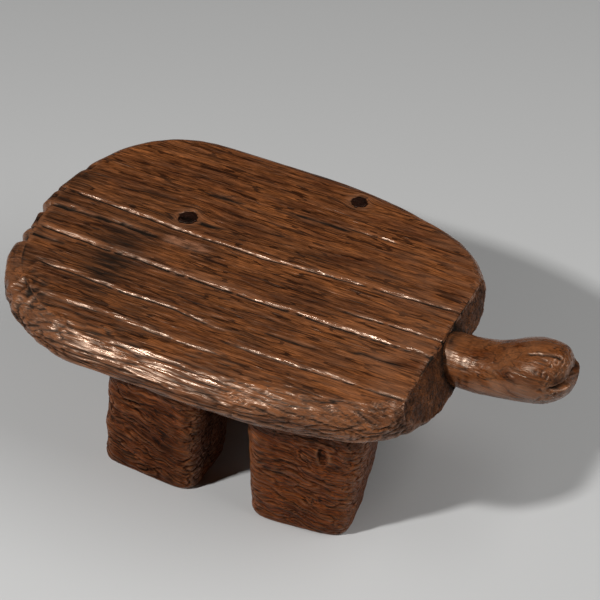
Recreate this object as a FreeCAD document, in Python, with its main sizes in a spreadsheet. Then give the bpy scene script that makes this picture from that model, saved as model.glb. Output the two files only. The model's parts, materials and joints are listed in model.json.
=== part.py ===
import FreeCAD, Part
import math
import os
import Sketcher

# A low carved stool in the shape of a turtle. +X points from the tail end to the head, +Y to the
# animal's left side and +Z up. The origin lies on the floor under the middle of the whole length.

# Driving dimensions in millimetres
SIZES = {
    # seat: a thick slab, rounded all round, with its front end cut off flat
    "seat_length": 461.0,
    "seat_width": 330.0,
    "seat_height": 205.0,
    "seat_thickness": 48.0,
    "left_bow_radius": 480.0,
    "right_bow_radius": 580.0,
    "side_bow_start": 229.0,
    "left_front_radius": 112.0,
    "right_front_radius": 72.0,
    "left_rear_radius": 115.0,
    "right_rear_radius": 128.0,
    "rear_bow_radius": 240.0,
    "top_rim_radius": 13.0,
    "lower_rim_radius": 22.0,
    "front_slope": 18.0,
    # drying checks: long cracks along the grain of the seat's top
    "check_width": 3.0,
    "check_depth": 7.0,
    # legs: blocks with rounded corners that lean towards the head and widen a little upwards
    "leg_length": 100.0,
    "leg_depth": 70.0,
    "leg_corner_radius": 24.0,
    "leg_flare": 8.0,
    "front_leg_lean": 8.0,
    "rear_leg_lean": 16.0,
    "foot_radius": 10.0,
    "front_leg_setback": 122.0,
    "leg_spacing": 164.0,
    "leg_edge_distance": 82.0,
    # leg tenons, which stand in blind mortises in the seat's underside
    "leg_tenon_length": 48.0,
    "leg_tenon_depth": 34.0,
    "leg_tenon_height": 26.0,
    "leg_tenon_radius": 6.0,
    # neck and head: a round neck, a little narrower at its root, that swells to a blunt head
    "head_reach": 111.0,
    "head_rise": 18.0,
    "neck_drop": 25.0,
    "neck_seat_depth": 22.0,
    "neck_root_diameter": 42.0,
    "neck_collar_diameter": 50.0,
    "neck_diameter": 56.0,
    "cheek_diameter": 63.0,
    "brow_diameter": 57.0,
    "lip_diameter": 40.0,
    "tip_diameter": 22.0,
    "mouth_depth": 22.0,
    "mouth_gape": 5.0,
    "upper_lip_setback": 7.0,
    "neck_tenon_diameter": 26.0,
    "neck_tenon_length": 48.0,
    # knots: tapered stubs of branch wood in the seat's top
    "knot_depth": 16.0,
    "knot_taper": 4.0,
    "back_knot_diameter": 21.0,
    "back_knot_along": 145.0,
    "back_knot_across": 42.0,
    "rim_knot_diameter": 18.0,
    "rim_knot_along": 288.0,
    "rim_knot_edge_distance": 27.0,
    # fits
    "fit_clearance": 0.2,
    "end_clearance": 0.5,
    "cut_overrun": 40.0,
}

# Stations of the neck and head: name of the diameter, share of the reach and share of the rise
HEAD_STATION_SHARES = [
    ("neck_root_diameter", -0.05, 0.0),
    ("neck_collar_diameter", 0.12, -0.12),
    ("neck_diameter", 0.36, 0.26),
    ("cheek_diameter", 0.65, 0.88),
    ("brow_diameter", 0.82, 1.0),
    ("lip_diameter", 0.95, 1.0),
    ("tip_diameter", 1.0, 1.0),
]

# Checks: start, middle and end, each as a share of the seat's length and of its half width
CHECK_SHARES = {
    "far_check": ((0.07, 0.16), (0.52, 0.12), (0.93, 0.19)),
    "main_check": ((0.04, -0.20), (0.50, -0.23), (0.94, -0.22)),
    "rear_check": ((0.10, -0.47), (0.30, -0.50), (0.51, -0.53)),
    "front_check": ((0.57, -0.61), (0.76, -0.61), (0.94, -0.60)),
    "near_check": ((0.17, -0.72), (0.38, -0.71), (0.58, -0.72)),
    "nose_check": ((0.75, -0.09), (0.85, -0.08), (0.95, -0.07)),
}

# Rounding of a foot: height above the floor and inset, both as shares of the foot's radius
SOLE_SHARES = [(0.0, 0.75), (0.12, 0.5), (0.35, 0.22), (1.0, 0.0)]

# Two heights count as equal within this share of them
LEVEL_SHARE = 1e-6


class Measure:
    """A size with its value and the sheet expression that gives it."""

    def __init__(self, value, text):
        self.value = value
        self.text = text

    def __add__(self, other):
        return Measure(self.value + other.value, f"({self.text} + {other.text})")

    def __sub__(self, other):
        return Measure(self.value - other.value, f"({self.text} - {other.text})")

    def __mul__(self, factor):
        return Measure(self.value * factor, f"({self.text} * {factor})")

    def __truediv__(self, divisor):
        return Measure(self.value / divisor, f"({self.text} / {divisor})")

    def __neg__(self):
        return Measure(-self.value, f"(-{self.text})")

    def leg_of(self, other):
        """The second short side of a right triangle with this long side."""
        root = math.sqrt(self.value ** 2 - other.value ** 2)
        return Measure(root, f"sqrt({self.text}^2 - {other.text}^2)")


doc = FreeCAD.newDocument("turtle_stool")
sheet = doc.addObject("Spreadsheet::Sheet", "Sizes")
for row, (alias, number) in enumerate(SIZES.items(), 1):
    sheet.set(f"A{row}", alias)
    sheet.set(f"B{row}", str(number))
    sheet.setAlias(f"B{row}", alias)
doc.recompute()

size = {alias: Measure(number, f"Sizes.{alias}") for alias, number in SIZES.items()}
ZERO = Measure(0.0, "0")
UP = FreeCAD.Vector(0, 0, 1)

# Places that several pieces share
seat_rear = -(size["seat_length"] + size["head_reach"]) / 2
seat_front = seat_rear + size["seat_length"]
half_width = size["seat_width"] / 2
bow_start = seat_front - size["side_bow_start"]
rear_centre = seat_rear + size["rear_bow_radius"]
underside = size["seat_height"] - size["seat_thickness"]
neck_height = size["seat_height"] - size["neck_drop"]
neck_root = seat_front - size["neck_seat_depth"]
front_leg_along = seat_front - size["front_leg_setback"]
rear_leg_along = front_leg_along - size["leg_spacing"]
leg_across = half_width - size["leg_edge_distance"]
LEG_PLACES = {
    "front_left_leg": (front_leg_along, leg_across, size["front_leg_lean"]),
    "front_right_leg": (front_leg_along, -leg_across, size["front_leg_lean"]),
    "rear_left_leg": (rear_leg_along, leg_across, size["rear_leg_lean"]),
    "rear_right_leg": (rear_leg_along, -leg_across, size["rear_leg_lean"]),
}
KNOT_PLACES = {
    "back_knot": (seat_rear + size["back_knot_along"], size["back_knot_across"]),
    "rim_knot": (seat_rear + size["rim_knot_along"], half_width - size["rim_knot_edge_distance"]),
}


def vector(x, y):
    """A point of a sketch from two measures."""
    return FreeCAD.Vector(x.value, y.value, 0)


def new_body(name):
    """An empty body under the piece's own name."""
    body = doc.addObject("PartDesign::Body", name)
    body.Label = name
    return body


def place(target, prop, x, y, z):
    """Ties the three coordinates of a placement to the sheet."""
    for axis, measure in zip("xyz", (x, y, z)):
        target.setExpression(f"{prop}.Base.{axis}", measure.text)


def sketch_on(body, role, name, x=ZERO, y=ZERO, z=ZERO):
    """A sketch on one of the body's own planes, moved by three measures in that plane's frame."""
    plane = next(item for item in body.Origin.OriginFeatures if item.Role == role)
    sketch = body.newObject("Sketcher::SketchObject", name)
    sketch.AttachmentSupport = [(plane, "")]
    sketch.MapMode = "FlatFace"
    place(sketch, "AttachmentOffset", x, y, z)
    return sketch


def tie(sketch, kind, *where, to):
    """A dimension of a sketch that follows the sheet."""
    index = sketch.addConstraint(Sketcher.Constraint(kind, *where, to.value))
    sketch.setExpression(f"Constraints[{index}]", to.text)


def join_in_turn(sketch, kind, count):
    """Joins each edge of a closed outline to the next one."""
    for index in range(count):
        sketch.addConstraint(Sketcher.Constraint(kind, index, 2, (index + 1) % count, 1))


def arc(x, y, radius, start, end):
    """An arc about a centre given in measures, between two angles in radians."""
    return Part.ArcOfCircle(Part.Circle(vector(x, y), UP, radius.value), start, end)


def draw_polygon(sketch, points):
    """A closed outline of straight edges whose corners follow the sheet."""
    for index, (x, y) in enumerate(points):
        after = points[(index + 1) % len(points)]
        sketch.addGeometry(Part.LineSegment(vector(x, y), vector(*after)))
    join_in_turn(sketch, "Coincident", len(points))
    for index, (x, y) in enumerate(points):
        tie(sketch, "DistanceX", -1, 1, index, 1, to=x)
        tie(sketch, "DistanceY", -1, 1, index, 1, to=y)


def draw_circle(sketch, diameter):
    """A circle about the sketch's own origin."""
    sketch.addGeometry(Part.Circle(vector(ZERO, ZERO), UP, diameter.value / 2))
    sketch.addConstraint(Sketcher.Constraint("Coincident", 0, 3, -1, 1))
    tie(sketch, "Diameter", 0, to=diameter)


def draw_rounded_rectangle(sketch, length, depth, radius):
    """A rectangle with rounded corners about the sketch's own origin."""
    right = length / 2
    top = depth / 2
    turn = math.pi / 2
    sketch.addGeometry(Part.LineSegment(vector(radius - right, -top), vector(right - radius, -top)))
    sketch.addGeometry(arc(right - radius, radius - top, radius, -turn, 0))
    sketch.addGeometry(Part.LineSegment(vector(right, radius - top), vector(right, top - radius)))
    sketch.addGeometry(arc(right - radius, top - radius, radius, 0, turn))
    sketch.addGeometry(Part.LineSegment(vector(right - radius, top), vector(radius - right, top)))
    sketch.addGeometry(arc(radius - right, top - radius, radius, turn, 2 * turn))
    sketch.addGeometry(Part.LineSegment(vector(-right, top - radius), vector(-right, radius - top)))
    sketch.addGeometry(arc(radius - right, radius - top, radius, 2 * turn, 3 * turn))
    join_in_turn(sketch, "Tangent", 8)
    for kind, index in (("Horizontal", 0), ("Vertical", 2), ("Horizontal", 4), ("Vertical", 6)):
        sketch.addConstraint(Sketcher.Constraint(kind, index))
    tie(sketch, "Radius", 1, to=radius)
    for index in (3, 5, 7):
        sketch.addConstraint(Sketcher.Constraint("Equal", 1, index))
    tie(sketch, "DistanceY", -1, 1, 0, 1, to=-top)
    tie(sketch, "DistanceX", -1, 1, 2, 1, to=right)
    tie(sketch, "DistanceY", -1, 1, 4, 1, to=top)
    tie(sketch, "DistanceX", -1, 1, 6, 1, to=-right)


def pad(body, sketch, length, reverse=False):
    """A solid raised from a sketch."""
    feature = body.newObject("PartDesign::Pad", sketch.Name + "_pad")
    feature.Profile = sketch
    feature.Reversed = reverse
    feature.setExpression("Length", length.text)
    doc.recompute()
    return feature


def pocket(body, sketch, depth=None, reverse=False):
    """A cut from a sketch, to a depth or, with none, through everything on both sides."""
    before = body.Shape.Volume
    feature = body.newObject("PartDesign::Pocket", sketch.Name + "_cut")
    feature.Profile = sketch
    feature.Reversed = reverse
    if depth is None:
        feature.SideType = "Symmetric"
        feature.Type = "ThroughAll"
    else:
        feature.setExpression("Length", depth.text)
    doc.recompute()
    if not body.Shape.Volume < before:
        raise RuntimeError(f"{feature.Name} cuts nothing")


def round_edges(body, base, name, height, radius):
    """Rounds the edges of a feature that lie flat at one height."""
    reach = LEVEL_SHARE * size["seat_height"].value
    edges = []
    for number, edge in enumerate(base.Shape.Edges, 1):
        box = edge.BoundBox
        if max(abs(box.ZMin - height.value), abs(box.ZMax - height.value)) < reach:
            edges.append(f"Edge{number}")
    feature = body.newObject("PartDesign::Fillet", name)
    feature.Base = (base, edges)
    feature.setExpression("Radius", radius.text)
    doc.recompute()
    return feature


class Flank:
    """The centres and angles of the arcs along one side of the seat, as on the animal's left."""

    def __init__(self, side):
        self.front_radius = size[side + "_front_radius"]
        self.bow_radius = size[side + "_bow_radius"]
        self.rear_radius = size[side + "_rear_radius"]
        self.bow_centre = half_width - self.bow_radius
        self.front_along = seat_front - self.front_radius
        run = self.front_along - bow_start
        rise = (self.bow_radius - self.front_radius).leg_of(run)
        self.front_across = self.bow_centre + rise
        self.front_angle = math.atan2(rise.value, run.value)
        self.rear_across = half_width - self.rear_radius
        back = (size["rear_bow_radius"] - self.rear_radius).leg_of(self.rear_across)
        self.rear_along = rear_centre - back
        self.rear_angle = math.atan2(self.rear_across.value, -back.value)


def draw_seat_outline(sketch):
    """The slab seen from above: a straight front, bowed flanks and a bowed rear, all tangent."""
    left = Flank("left")
    right = Flank("right")
    turn = math.pi / 2
    round_turn = 4 * turn
    shapes = [
        Part.LineSegment(vector(seat_front, -right.front_across), vector(seat_front, left.front_across)),
        arc(left.front_along, left.front_across, left.front_radius, 0, left.front_angle),
        arc(bow_start, left.bow_centre, left.bow_radius, left.front_angle, turn),
        Part.LineSegment(vector(bow_start, half_width), vector(left.rear_along, half_width)),
        arc(left.rear_along, left.rear_across, left.rear_radius, turn, left.rear_angle),
        arc(rear_centre, ZERO, size["rear_bow_radius"], left.rear_angle, round_turn - right.rear_angle),
        arc(right.rear_along, -right.rear_across, right.rear_radius, round_turn - right.rear_angle, 3 * turn),
        Part.LineSegment(vector(right.rear_along, -half_width), vector(bow_start, -half_width)),
        arc(bow_start, -right.bow_centre, right.bow_radius, 3 * turn, round_turn - right.front_angle),
        arc(right.front_along, -right.front_across, right.front_radius, -right.front_angle, 0),
    ]
    sketch.addGeometry(shapes)
    join_in_turn(sketch, "Tangent", len(shapes))
    for kind, index in (("Vertical", 0), ("Horizontal", 3), ("Horizontal", 7)):
        sketch.addConstraint(Sketcher.Constraint(kind, index))
    tie(sketch, "Radius", 1, to=left.front_radius)
    tie(sketch, "Radius", 2, to=left.bow_radius)
    tie(sketch, "Radius", 4, to=left.rear_radius)
    tie(sketch, "Radius", 5, to=size["rear_bow_radius"])
    tie(sketch, "Radius", 6, to=right.rear_radius)
    tie(sketch, "Radius", 8, to=right.bow_radius)
    tie(sketch, "Radius", 9, to=right.front_radius)
    tie(sketch, "DistanceX", -1, 1, 0, 1, to=seat_front)
    tie(sketch, "DistanceX", -1, 1, 3, 1, to=bow_start)
    tie(sketch, "DistanceY", -1, 1, 3, 1, to=half_width)
    tie(sketch, "DistanceX", -1, 1, 7, 2, to=bow_start)
    tie(sketch, "DistanceY", -1, 1, 7, 2, to=-half_width)
    sketch.addConstraint(Sketcher.Constraint("PointOnObject", 5, 3, -1))
    tie(sketch, "DistanceX", -1, 1, 5, 3, to=rear_centre)


def make_seat():
    """The slab with its rounded rims, flat front, neck socket, leg mortises, knot bores and checks."""
    body = new_body("seat")
    outline = sketch_on(body, "XY_Plane", "seat_outline", z=underside)
    draw_seat_outline(outline)
    slab = pad(body, outline, size["seat_thickness"])
    topped = round_edges(body, slab, "top_rim", size["seat_height"], size["top_rim_radius"])
    round_edges(body, topped, "lower_rim", underside, size["lower_rim_radius"])

    front = sketch_on(body, "XZ_Plane", "front_face")
    beyond = seat_front + size["cut_overrun"]
    top_edge = seat_front - size["front_slope"]
    draw_polygon(front, [
        (top_edge, size["seat_height"]),
        (seat_front, underside),
        (beyond, underside),
        (beyond, size["seat_height"]),
    ])
    pocket(body, front)

    fit = size["fit_clearance"] * 2
    root = sketch_on(body, "YZ_Plane", "neck_seat", y=neck_height, z=seat_front)
    draw_circle(root, size["neck_root_diameter"] + fit)
    pocket(body, root, size["neck_seat_depth"])
    socket = sketch_on(body, "YZ_Plane", "neck_socket", y=neck_height, z=neck_root)
    draw_circle(socket, size["neck_tenon_diameter"] + fit)
    pocket(body, socket, size["neck_tenon_length"] + size["end_clearance"])

    for name, (along, across, lean) in LEG_PLACES.items():
        mortise = sketch_on(body, "XY_Plane", name + "_mortise", along + lean, across, underside)
        draw_rounded_rectangle(
            mortise,
            size["leg_tenon_length"] + fit,
            size["leg_tenon_depth"] + fit,
            size["leg_tenon_radius"] + size["fit_clearance"],
        )
        pocket(body, mortise, size["leg_tenon_height"] + size["end_clearance"], reverse=True)

    for name, (along, across) in KNOT_PLACES.items():
        before = body.Shape.Volume
        bore = body.newObject("PartDesign::SubtractiveCone", name + "_bore")
        bore.AttachmentSupport = [(next(p for p in body.Origin.OriginFeatures if p.Role == "XY_Plane"), "")]
        bore.MapMode = "FlatFace"
        place(bore, "AttachmentOffset", along, across, size["seat_height"] - size["knot_depth"])
        wide = size[name + "_diameter"] / 2 + size["fit_clearance"]
        bore.setExpression("Radius1", (wide - size["knot_taper"]).text)
        bore.setExpression("Radius2", wide.text)
        bore.setExpression("Height", size["knot_depth"].text)
        doc.recompute()
        if not body.Shape.Volume < before:
            raise RuntimeError(f"{bore.Name} cuts nothing")

    half_gap = size["check_width"] / 2
    for name, shares in CHECK_SHARES.items():
        points = [(seat_rear + size["seat_length"] * along, half_width * across) for along, across in shares]
        start, middle, end = points
        check = sketch_on(body, "XY_Plane", name, z=size["seat_height"])
        draw_polygon(check, [start, (middle[0], middle[1] - half_gap), end, (middle[0], middle[1] + half_gap)])
        pocket(body, check, size["check_depth"])
    return body


def make_leg(name, along, across, lean):
    """A block leg with rounded corners and foot, and a tenon on its top."""
    body = new_body(name)
    levels = []
    for number, (height_share, inset_share) in enumerate(SOLE_SHARES):
        inset = size["foot_radius"] * inset_share
        height = size["foot_radius"] * height_share
        level = sketch_on(body, "XY_Plane", f"{name}_sole_{number}", along, across, height)
        draw_rounded_rectangle(
            level,
            size["leg_length"] - inset * 2,
            size["leg_depth"] - inset * 2,
            size["leg_corner_radius"] - inset,
        )
        levels.append(level)
    shoulder = sketch_on(body, "XY_Plane", name + "_shoulder", along + lean, across, underside)
    flare = size["leg_flare"]
    draw_rounded_rectangle(
        shoulder,
        size["leg_length"] + flare * 2,
        size["leg_depth"] + flare * 2,
        size["leg_corner_radius"] + flare,
    )
    block = body.newObject("PartDesign::AdditiveLoft", name + "_block")
    block.Profile = levels[0]
    block.Sections = levels[1:] + [shoulder]
    block.Ruled = True
    doc.recompute()
    tenon = sketch_on(body, "XY_Plane", name + "_tenon", along + lean, across, underside)
    draw_rounded_rectangle(
        tenon,
        size["leg_tenon_length"],
        size["leg_tenon_depth"],
        size["leg_tenon_radius"],
    )
    pad(body, tenon, size["leg_tenon_height"])
    return body


def make_neck_and_head():
    """The neck and head as one turned form with a mouth and a round tenon at its root."""
    body = new_body("neck_and_head")
    root = sketch_on(body, "YZ_Plane", "neck_root", y=neck_height, z=neck_root)
    draw_circle(root, size["neck_root_diameter"])
    sections = []
    for alias, reach_share, rise_share in HEAD_STATION_SHARES:
        height = neck_height + size["head_rise"] * rise_share
        station = seat_front + size["head_reach"] * reach_share
        section = sketch_on(body, "YZ_Plane", alias.replace("_diameter", "_section"), y=height, z=station)
        draw_circle(section, size[alias])
        sections.append(section)
    form = body.newObject("PartDesign::AdditiveLoft", "head_form")
    form.Profile = root
    form.Sections = sections
    doc.recompute()

    mouth = sketch_on(body, "XZ_Plane", "mouth")
    mouth_height = neck_height + size["head_rise"]
    tip = seat_front + size["head_reach"]
    beyond = tip + size["cut_overrun"]
    lip = tip - size["upper_lip_setback"]
    above = mouth_height + size["cut_overrun"]
    half_gape = size["mouth_gape"] / 2
    draw_polygon(mouth, [
        (tip - size["mouth_depth"], mouth_height),
        (beyond, mouth_height - half_gape),
        (beyond, above),
        (lip, above),
        (lip, mouth_height + half_gape),
    ])
    pocket(body, mouth)

    tenon = sketch_on(body, "YZ_Plane", "neck_tenon", y=neck_height, z=neck_root)
    draw_circle(tenon, size["neck_tenon_diameter"])
    pad(body, tenon, size["neck_tenon_length"], reverse=True)
    return body


def make_knot(name, along, across):
    """A tapered stub of branch wood, level with the seat's top."""
    knot = doc.addObject("Part::Cone", name)
    knot.Label = name
    wide = size[name + "_diameter"] / 2
    knot.setExpression("Radius1", (wide - size["knot_taper"]).text)
    knot.setExpression("Radius2", wide.text)
    knot.setExpression("Height", size["knot_depth"].text)
    place(knot, "Placement", along, across, size["seat_height"] - size["knot_depth"])
    return knot


pieces = [make_seat()]
for leg_name, leg_place in LEG_PLACES.items():
    pieces.append(make_leg(leg_name, *leg_place))
pieces.append(make_neck_and_head())
for knot_name, knot_place in KNOT_PLACES.items():
    pieces.append(make_knot(knot_name, *knot_place))
doc.recompute()

# Every object has to be sound before anything is written
for item in doc.Objects:
    if "Invalid" in item.State or "Error" in item.State:
        raise RuntimeError(f"{item.Name} failed: {item.State}")
for piece in pieces:
    if piece.Shape.isNull() or not piece.Shape.isValid():
        raise RuntimeError(f"{piece.Label} has no valid shape")

os.makedirs("parts", exist_ok=True)
for piece in pieces:
    piece.Shape.exportStep(f"parts/{piece.Label}.step")
    bounds = piece.Shape.BoundBox
    print(
        f"{piece.Label}: {len(piece.Shape.Solids)} solid, {piece.Shape.Volume / 1000:.1f} cm3, "
        f"x {bounds.XMin:.2f} {bounds.XMax:.2f}, y {bounds.YMin:.2f} {bounds.YMax:.2f}, "
        f"z {bounds.ZMin:.2f} {bounds.ZMax:.2f}"
    )
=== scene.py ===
"""A low turtle stool of dark hardwood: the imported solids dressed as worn, hewn and cracked wood."""

import json
import logging
import math
from bisect import bisect_left
from collections.abc import Callable
from dataclasses import dataclass
from enum import Enum
from functools import cached_property

import bmesh
import bpy
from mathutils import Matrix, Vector, geometry, noise

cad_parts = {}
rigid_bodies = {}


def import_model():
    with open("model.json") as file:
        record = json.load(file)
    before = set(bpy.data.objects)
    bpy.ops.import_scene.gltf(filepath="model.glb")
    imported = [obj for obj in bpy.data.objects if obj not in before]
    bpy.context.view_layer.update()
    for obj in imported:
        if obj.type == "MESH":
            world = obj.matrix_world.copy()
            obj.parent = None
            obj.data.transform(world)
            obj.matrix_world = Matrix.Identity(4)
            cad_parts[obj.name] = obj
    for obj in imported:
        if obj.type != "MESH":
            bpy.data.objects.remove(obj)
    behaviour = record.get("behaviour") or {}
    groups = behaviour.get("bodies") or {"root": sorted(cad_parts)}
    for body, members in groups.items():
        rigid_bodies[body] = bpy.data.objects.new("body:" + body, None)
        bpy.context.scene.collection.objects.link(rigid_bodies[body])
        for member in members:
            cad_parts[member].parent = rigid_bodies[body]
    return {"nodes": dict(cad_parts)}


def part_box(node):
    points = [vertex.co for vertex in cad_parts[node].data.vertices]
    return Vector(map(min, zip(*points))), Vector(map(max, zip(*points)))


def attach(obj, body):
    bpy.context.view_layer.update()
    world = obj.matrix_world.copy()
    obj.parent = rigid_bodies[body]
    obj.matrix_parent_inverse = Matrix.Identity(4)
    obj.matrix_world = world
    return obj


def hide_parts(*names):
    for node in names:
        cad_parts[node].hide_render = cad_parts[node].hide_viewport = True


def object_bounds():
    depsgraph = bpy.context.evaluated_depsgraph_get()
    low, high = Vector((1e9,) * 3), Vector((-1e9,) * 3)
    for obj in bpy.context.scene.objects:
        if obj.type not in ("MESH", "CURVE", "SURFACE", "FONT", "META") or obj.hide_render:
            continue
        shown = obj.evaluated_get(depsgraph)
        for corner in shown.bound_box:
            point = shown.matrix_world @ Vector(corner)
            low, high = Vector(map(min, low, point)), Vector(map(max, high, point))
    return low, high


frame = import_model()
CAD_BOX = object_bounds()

log = logging.getLogger("turtle_stool")

# Shapes are worked out in millimetres and scaled to metres when a mesh is finished
MM = 0.001
UP = Vector((0.0, 0.0, 1.0))
ORIGIN = Vector((0.0, 0.0, 0.0))
Points = tuple[tuple[float, float], ...]


class Slot(Enum):
    """The record's material slots."""

    CARVED = "carved_hardwood"
    POLISHED = "polished_hardwood"
    KNOT = "knot_wood"


class Mark(Enum):
    """The attributes that a mesh hands to its material."""

    GRAIN = "grain_place"
    # darkens the colour: dirt, with painted shade in hollows, on the seat's front face, at the neck's root
    # and on the legs under the seat
    DIRT_AND_SHADE = "hollow"
    # lightens the colour: wear, with a painted highlight on ridges, crack walls, the near rim, the front of
    # the top and the head
    WEAR_AND_HIGHLIGHT = "worn"
    BARE = "bare"


def linear(code: str) -> tuple[float, float, float, float]:
    """Turns an sRGB hex colour to linear light.

    Args:
        code: six hex digits.

    Returns:
        Red, green, blue and an alpha of one.
    """
    shares = [int(code[start:start + 2], 16) / 255 for start in (0, 2, 4)]
    light = [share / 12.92 if share <= 0.04045 else ((share + 0.055) / 1.055) ** 2.4 for share in shares]
    return (*light, 1.0)


def clamp(value: float) -> float:
    """Keeps a value between 0 and 1."""
    return min(1.0, max(0.0, value))


def ease(low: float, high: float, value: float) -> float:
    """Rises smoothly from 0 at low to 1 at high.

    Args:
        low: where the rise starts.
        high: where it ends; below low, the result falls instead.
        value: where it is asked for.

    Returns:
        A share from 0 to 1.
    """
    share = clamp((value - low) / (high - low))
    return share * share * (3 - 2 * share)


def along_points(points: Points, place: float) -> float:
    """Reads a broken line given as (place, value) points.

    Args:
        points: the line's corners, by rising place.
        place: where it is read; past an end the end's value holds.

    Returns:
        The value there.
    """
    if place <= points[0][0]:
        return points[0][1]
    for (start, low), (end, high) in zip(points, points[1:]):
        if place <= end:
            return low + (high - low) * (place - start) / (end - start)
    return points[-1][1]


def smooth_points(points: Points, place: float) -> float:
    """Reads a smooth curve through (place, value) points.

    Args:
        points: the curve's points, by rising place.
        place: where it is read; past an end the end's value holds.

    Returns:
        The value there.
    """
    if place <= points[0][0]:
        return points[0][1]
    if place >= points[-1][0]:
        return points[-1][1]
    high = next(index for index, (start, _) in enumerate(points) if start >= place)
    (start, low), (end, top) = points[high - 1], points[high]
    before = points[max(0, high - 2)]
    after = points[min(len(points) - 1, high + 1)]
    width = end - start
    rise_in = width * (top - before[1]) / (end - before[0])
    rise_out = width * (after[1] - low) / (after[0] - start)
    share = (place - start) / width
    bend_in = share * (1 - share) ** 2 * rise_in
    bend_out = share * share * (share - 1) * rise_out
    return low + (top - low) * ease(start, end, place) + bend_in + bend_out


def lumps(place: Vector, size: float, shift: Vector = ORIGIN) -> float:
    """Even noise from about -1 to 1.

    Args:
        place: a point in millimetres.
        size: size of the lumps.
        shift: moves the noise to another pattern.

    Returns:
        The noise at the point.
    """
    return noise.noise(place / size + shift)


def grow_ring(shape: bmesh.types.BMesh, edges: list) -> tuple[list, list]:
    """Extrudes an open edge loop by one ring.

    Args:
        shape: the mesh.
        edges: the loop's edges.

    Returns:
        The new loop's edges and vertices, still in the old loop's place.
    """
    made = bmesh.ops.extrude_edge_only(shape, edges=edges)["geom"]
    ring = [item for item in made if isinstance(item, bmesh.types.BMEdge) and item.is_boundary]
    return ring, list({vertex for edge in ring for vertex in edge.verts})


@dataclass(frozen=True)
class Fade:
    """A smooth change from 0 at its start to 1 at its end; the end may lie below the start."""

    start: float
    end: float

    def at(self, value: float) -> float:
        """The share from 0 to 1 at a value."""
        return ease(self.start, self.end, value)


@dataclass(frozen=True)
class Layer:
    """Unevenness that is drawn out along the grain, which runs along X.

    Attributes:
        height: how far it swings either way, in millimetres or as a share.
        length: its size along the grain.
        width: its size across it.
        seed: shifts it to another pattern.
        line: how much of the swing a torn line takes up.
    """

    height: float
    length: float
    width: float
    seed: float = 0.0
    line: float = 0.16

    def swing(self, place: Vector) -> float:
        """The bare noise at a point, from about -1 to 1.

        Args:
            place: a point in millimetres.

        Returns:
            The noise.
        """
        across = place.y / self.width - self.seed
        upward = place.z / self.width + 2 * self.seed
        return noise.noise(Vector((place.x / self.length + self.seed, across, upward)))

    def at(self, place: Vector) -> float:
        """The unevenness at a point."""
        return self.height * self.swing(place)

    def tear(self, place: Vector) -> float:
        """The depth of the torn lines at a point, which follow the noise's zero."""
        return self.height * ease(self.line, 0.0, abs(self.swing(place)))


@dataclass(frozen=True)
class Spot:
    """An oval place on a surface.

    Attributes:
        along: x of its middle.
        across: y or z of its middle.
        half_length: half its size along X.
        half_width: half its size the other way.
    """

    along: float
    across: float
    half_length: float
    half_width: float

    def reach(self, along: float, across: float) -> float:
        """How far a point lies from the middle; 1 is the oval's edge."""
        return math.hypot((along - self.along) / self.half_length, (across - self.across) / self.half_width)


@dataclass(frozen=True)
class Knot:
    """A dark knot in the seat's top.

    Attributes:
        node: its CAD node.
        wave: how far its edge wanders.
        socket: how deep the seat's top sinks over it.
        halo: how far dirt spreads round it.
    """

    node: str
    wave: float = 2.4
    socket: float = 2.6
    halo: float = 9.0

    @cached_property
    def centre(self) -> Vector:
        """The middle of the knot's face."""
        low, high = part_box(self.node)
        return Vector(((low.x + high.x) / 2, (low.y + high.y) / 2, high.z)) / MM

    @cached_property
    def radius(self) -> float:
        """The knot's radius at its face."""
        low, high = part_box(self.node)
        return (high.x - low.x) / 2 / MM

    def edge(self, angle: float) -> float:
        """The knot's uneven radius in one direction."""
        around = Vector((math.cos(angle), math.sin(angle), self.centre.x))
        return self.radius - self.wave * (0.5 + noise.noise(around * 1.7))

    def sink(self, place: Vector) -> float:
        """How far the socket lowers the seat's top at a point.

        Args:
            place: a point in millimetres.

        Returns:
            A depth in millimetres.
        """
        reach = place - self.centre
        radius = self.edge(math.atan2(reach.y, reach.x))
        return self.socket * ease(radius + 1.0, radius - 0.6, math.hypot(reach.x, reach.y))

    def dirt(self, place: Vector) -> float:
        """How much dirt lies round the knot at a point."""
        return 0.5 * ease(self.radius + self.halo, self.radius, (place - self.centre).length)


KNOTS = (Knot("back_knot"), Knot("rim_knot"))
# How strongly a knot pushes the grain aside
GRAIN_PUSH = 0.8


def grain_place(place: Vector) -> Vector:
    """Bends the grain's coordinates round the knots, as a stream goes round a post.

    Args:
        place: a point in millimetres.

    Returns:
        The point in metres, where grain lines run straight along X.
    """
    across = place.y
    for knot in KNOTS:
        reach = place - knot.centre
        reach.z = 0.0
        grip = knot.radius ** 2 / max(reach.length_squared, knot.radius ** 2)
        across -= GRAIN_PUSH * reach.y * grip
    return Vector((place.x, across, place.z)) * MM


# Rounds of smoothing for the calm surface that ridges and hollows are measured from
CALM_ROUNDS = 7
# How far a ridge stands out where it is fully lightened, as wear and partly as a painted highlight, and how
# far a hollow sinks where it is fully darkened, as dirt and partly as painted shade
LIGHTEST_RISE = 0.4
DARKEST_SINK = 0.7
# Share of the darkening, dirt and painted shade alike, that full wear takes off
WIPED = 0.8


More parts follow.
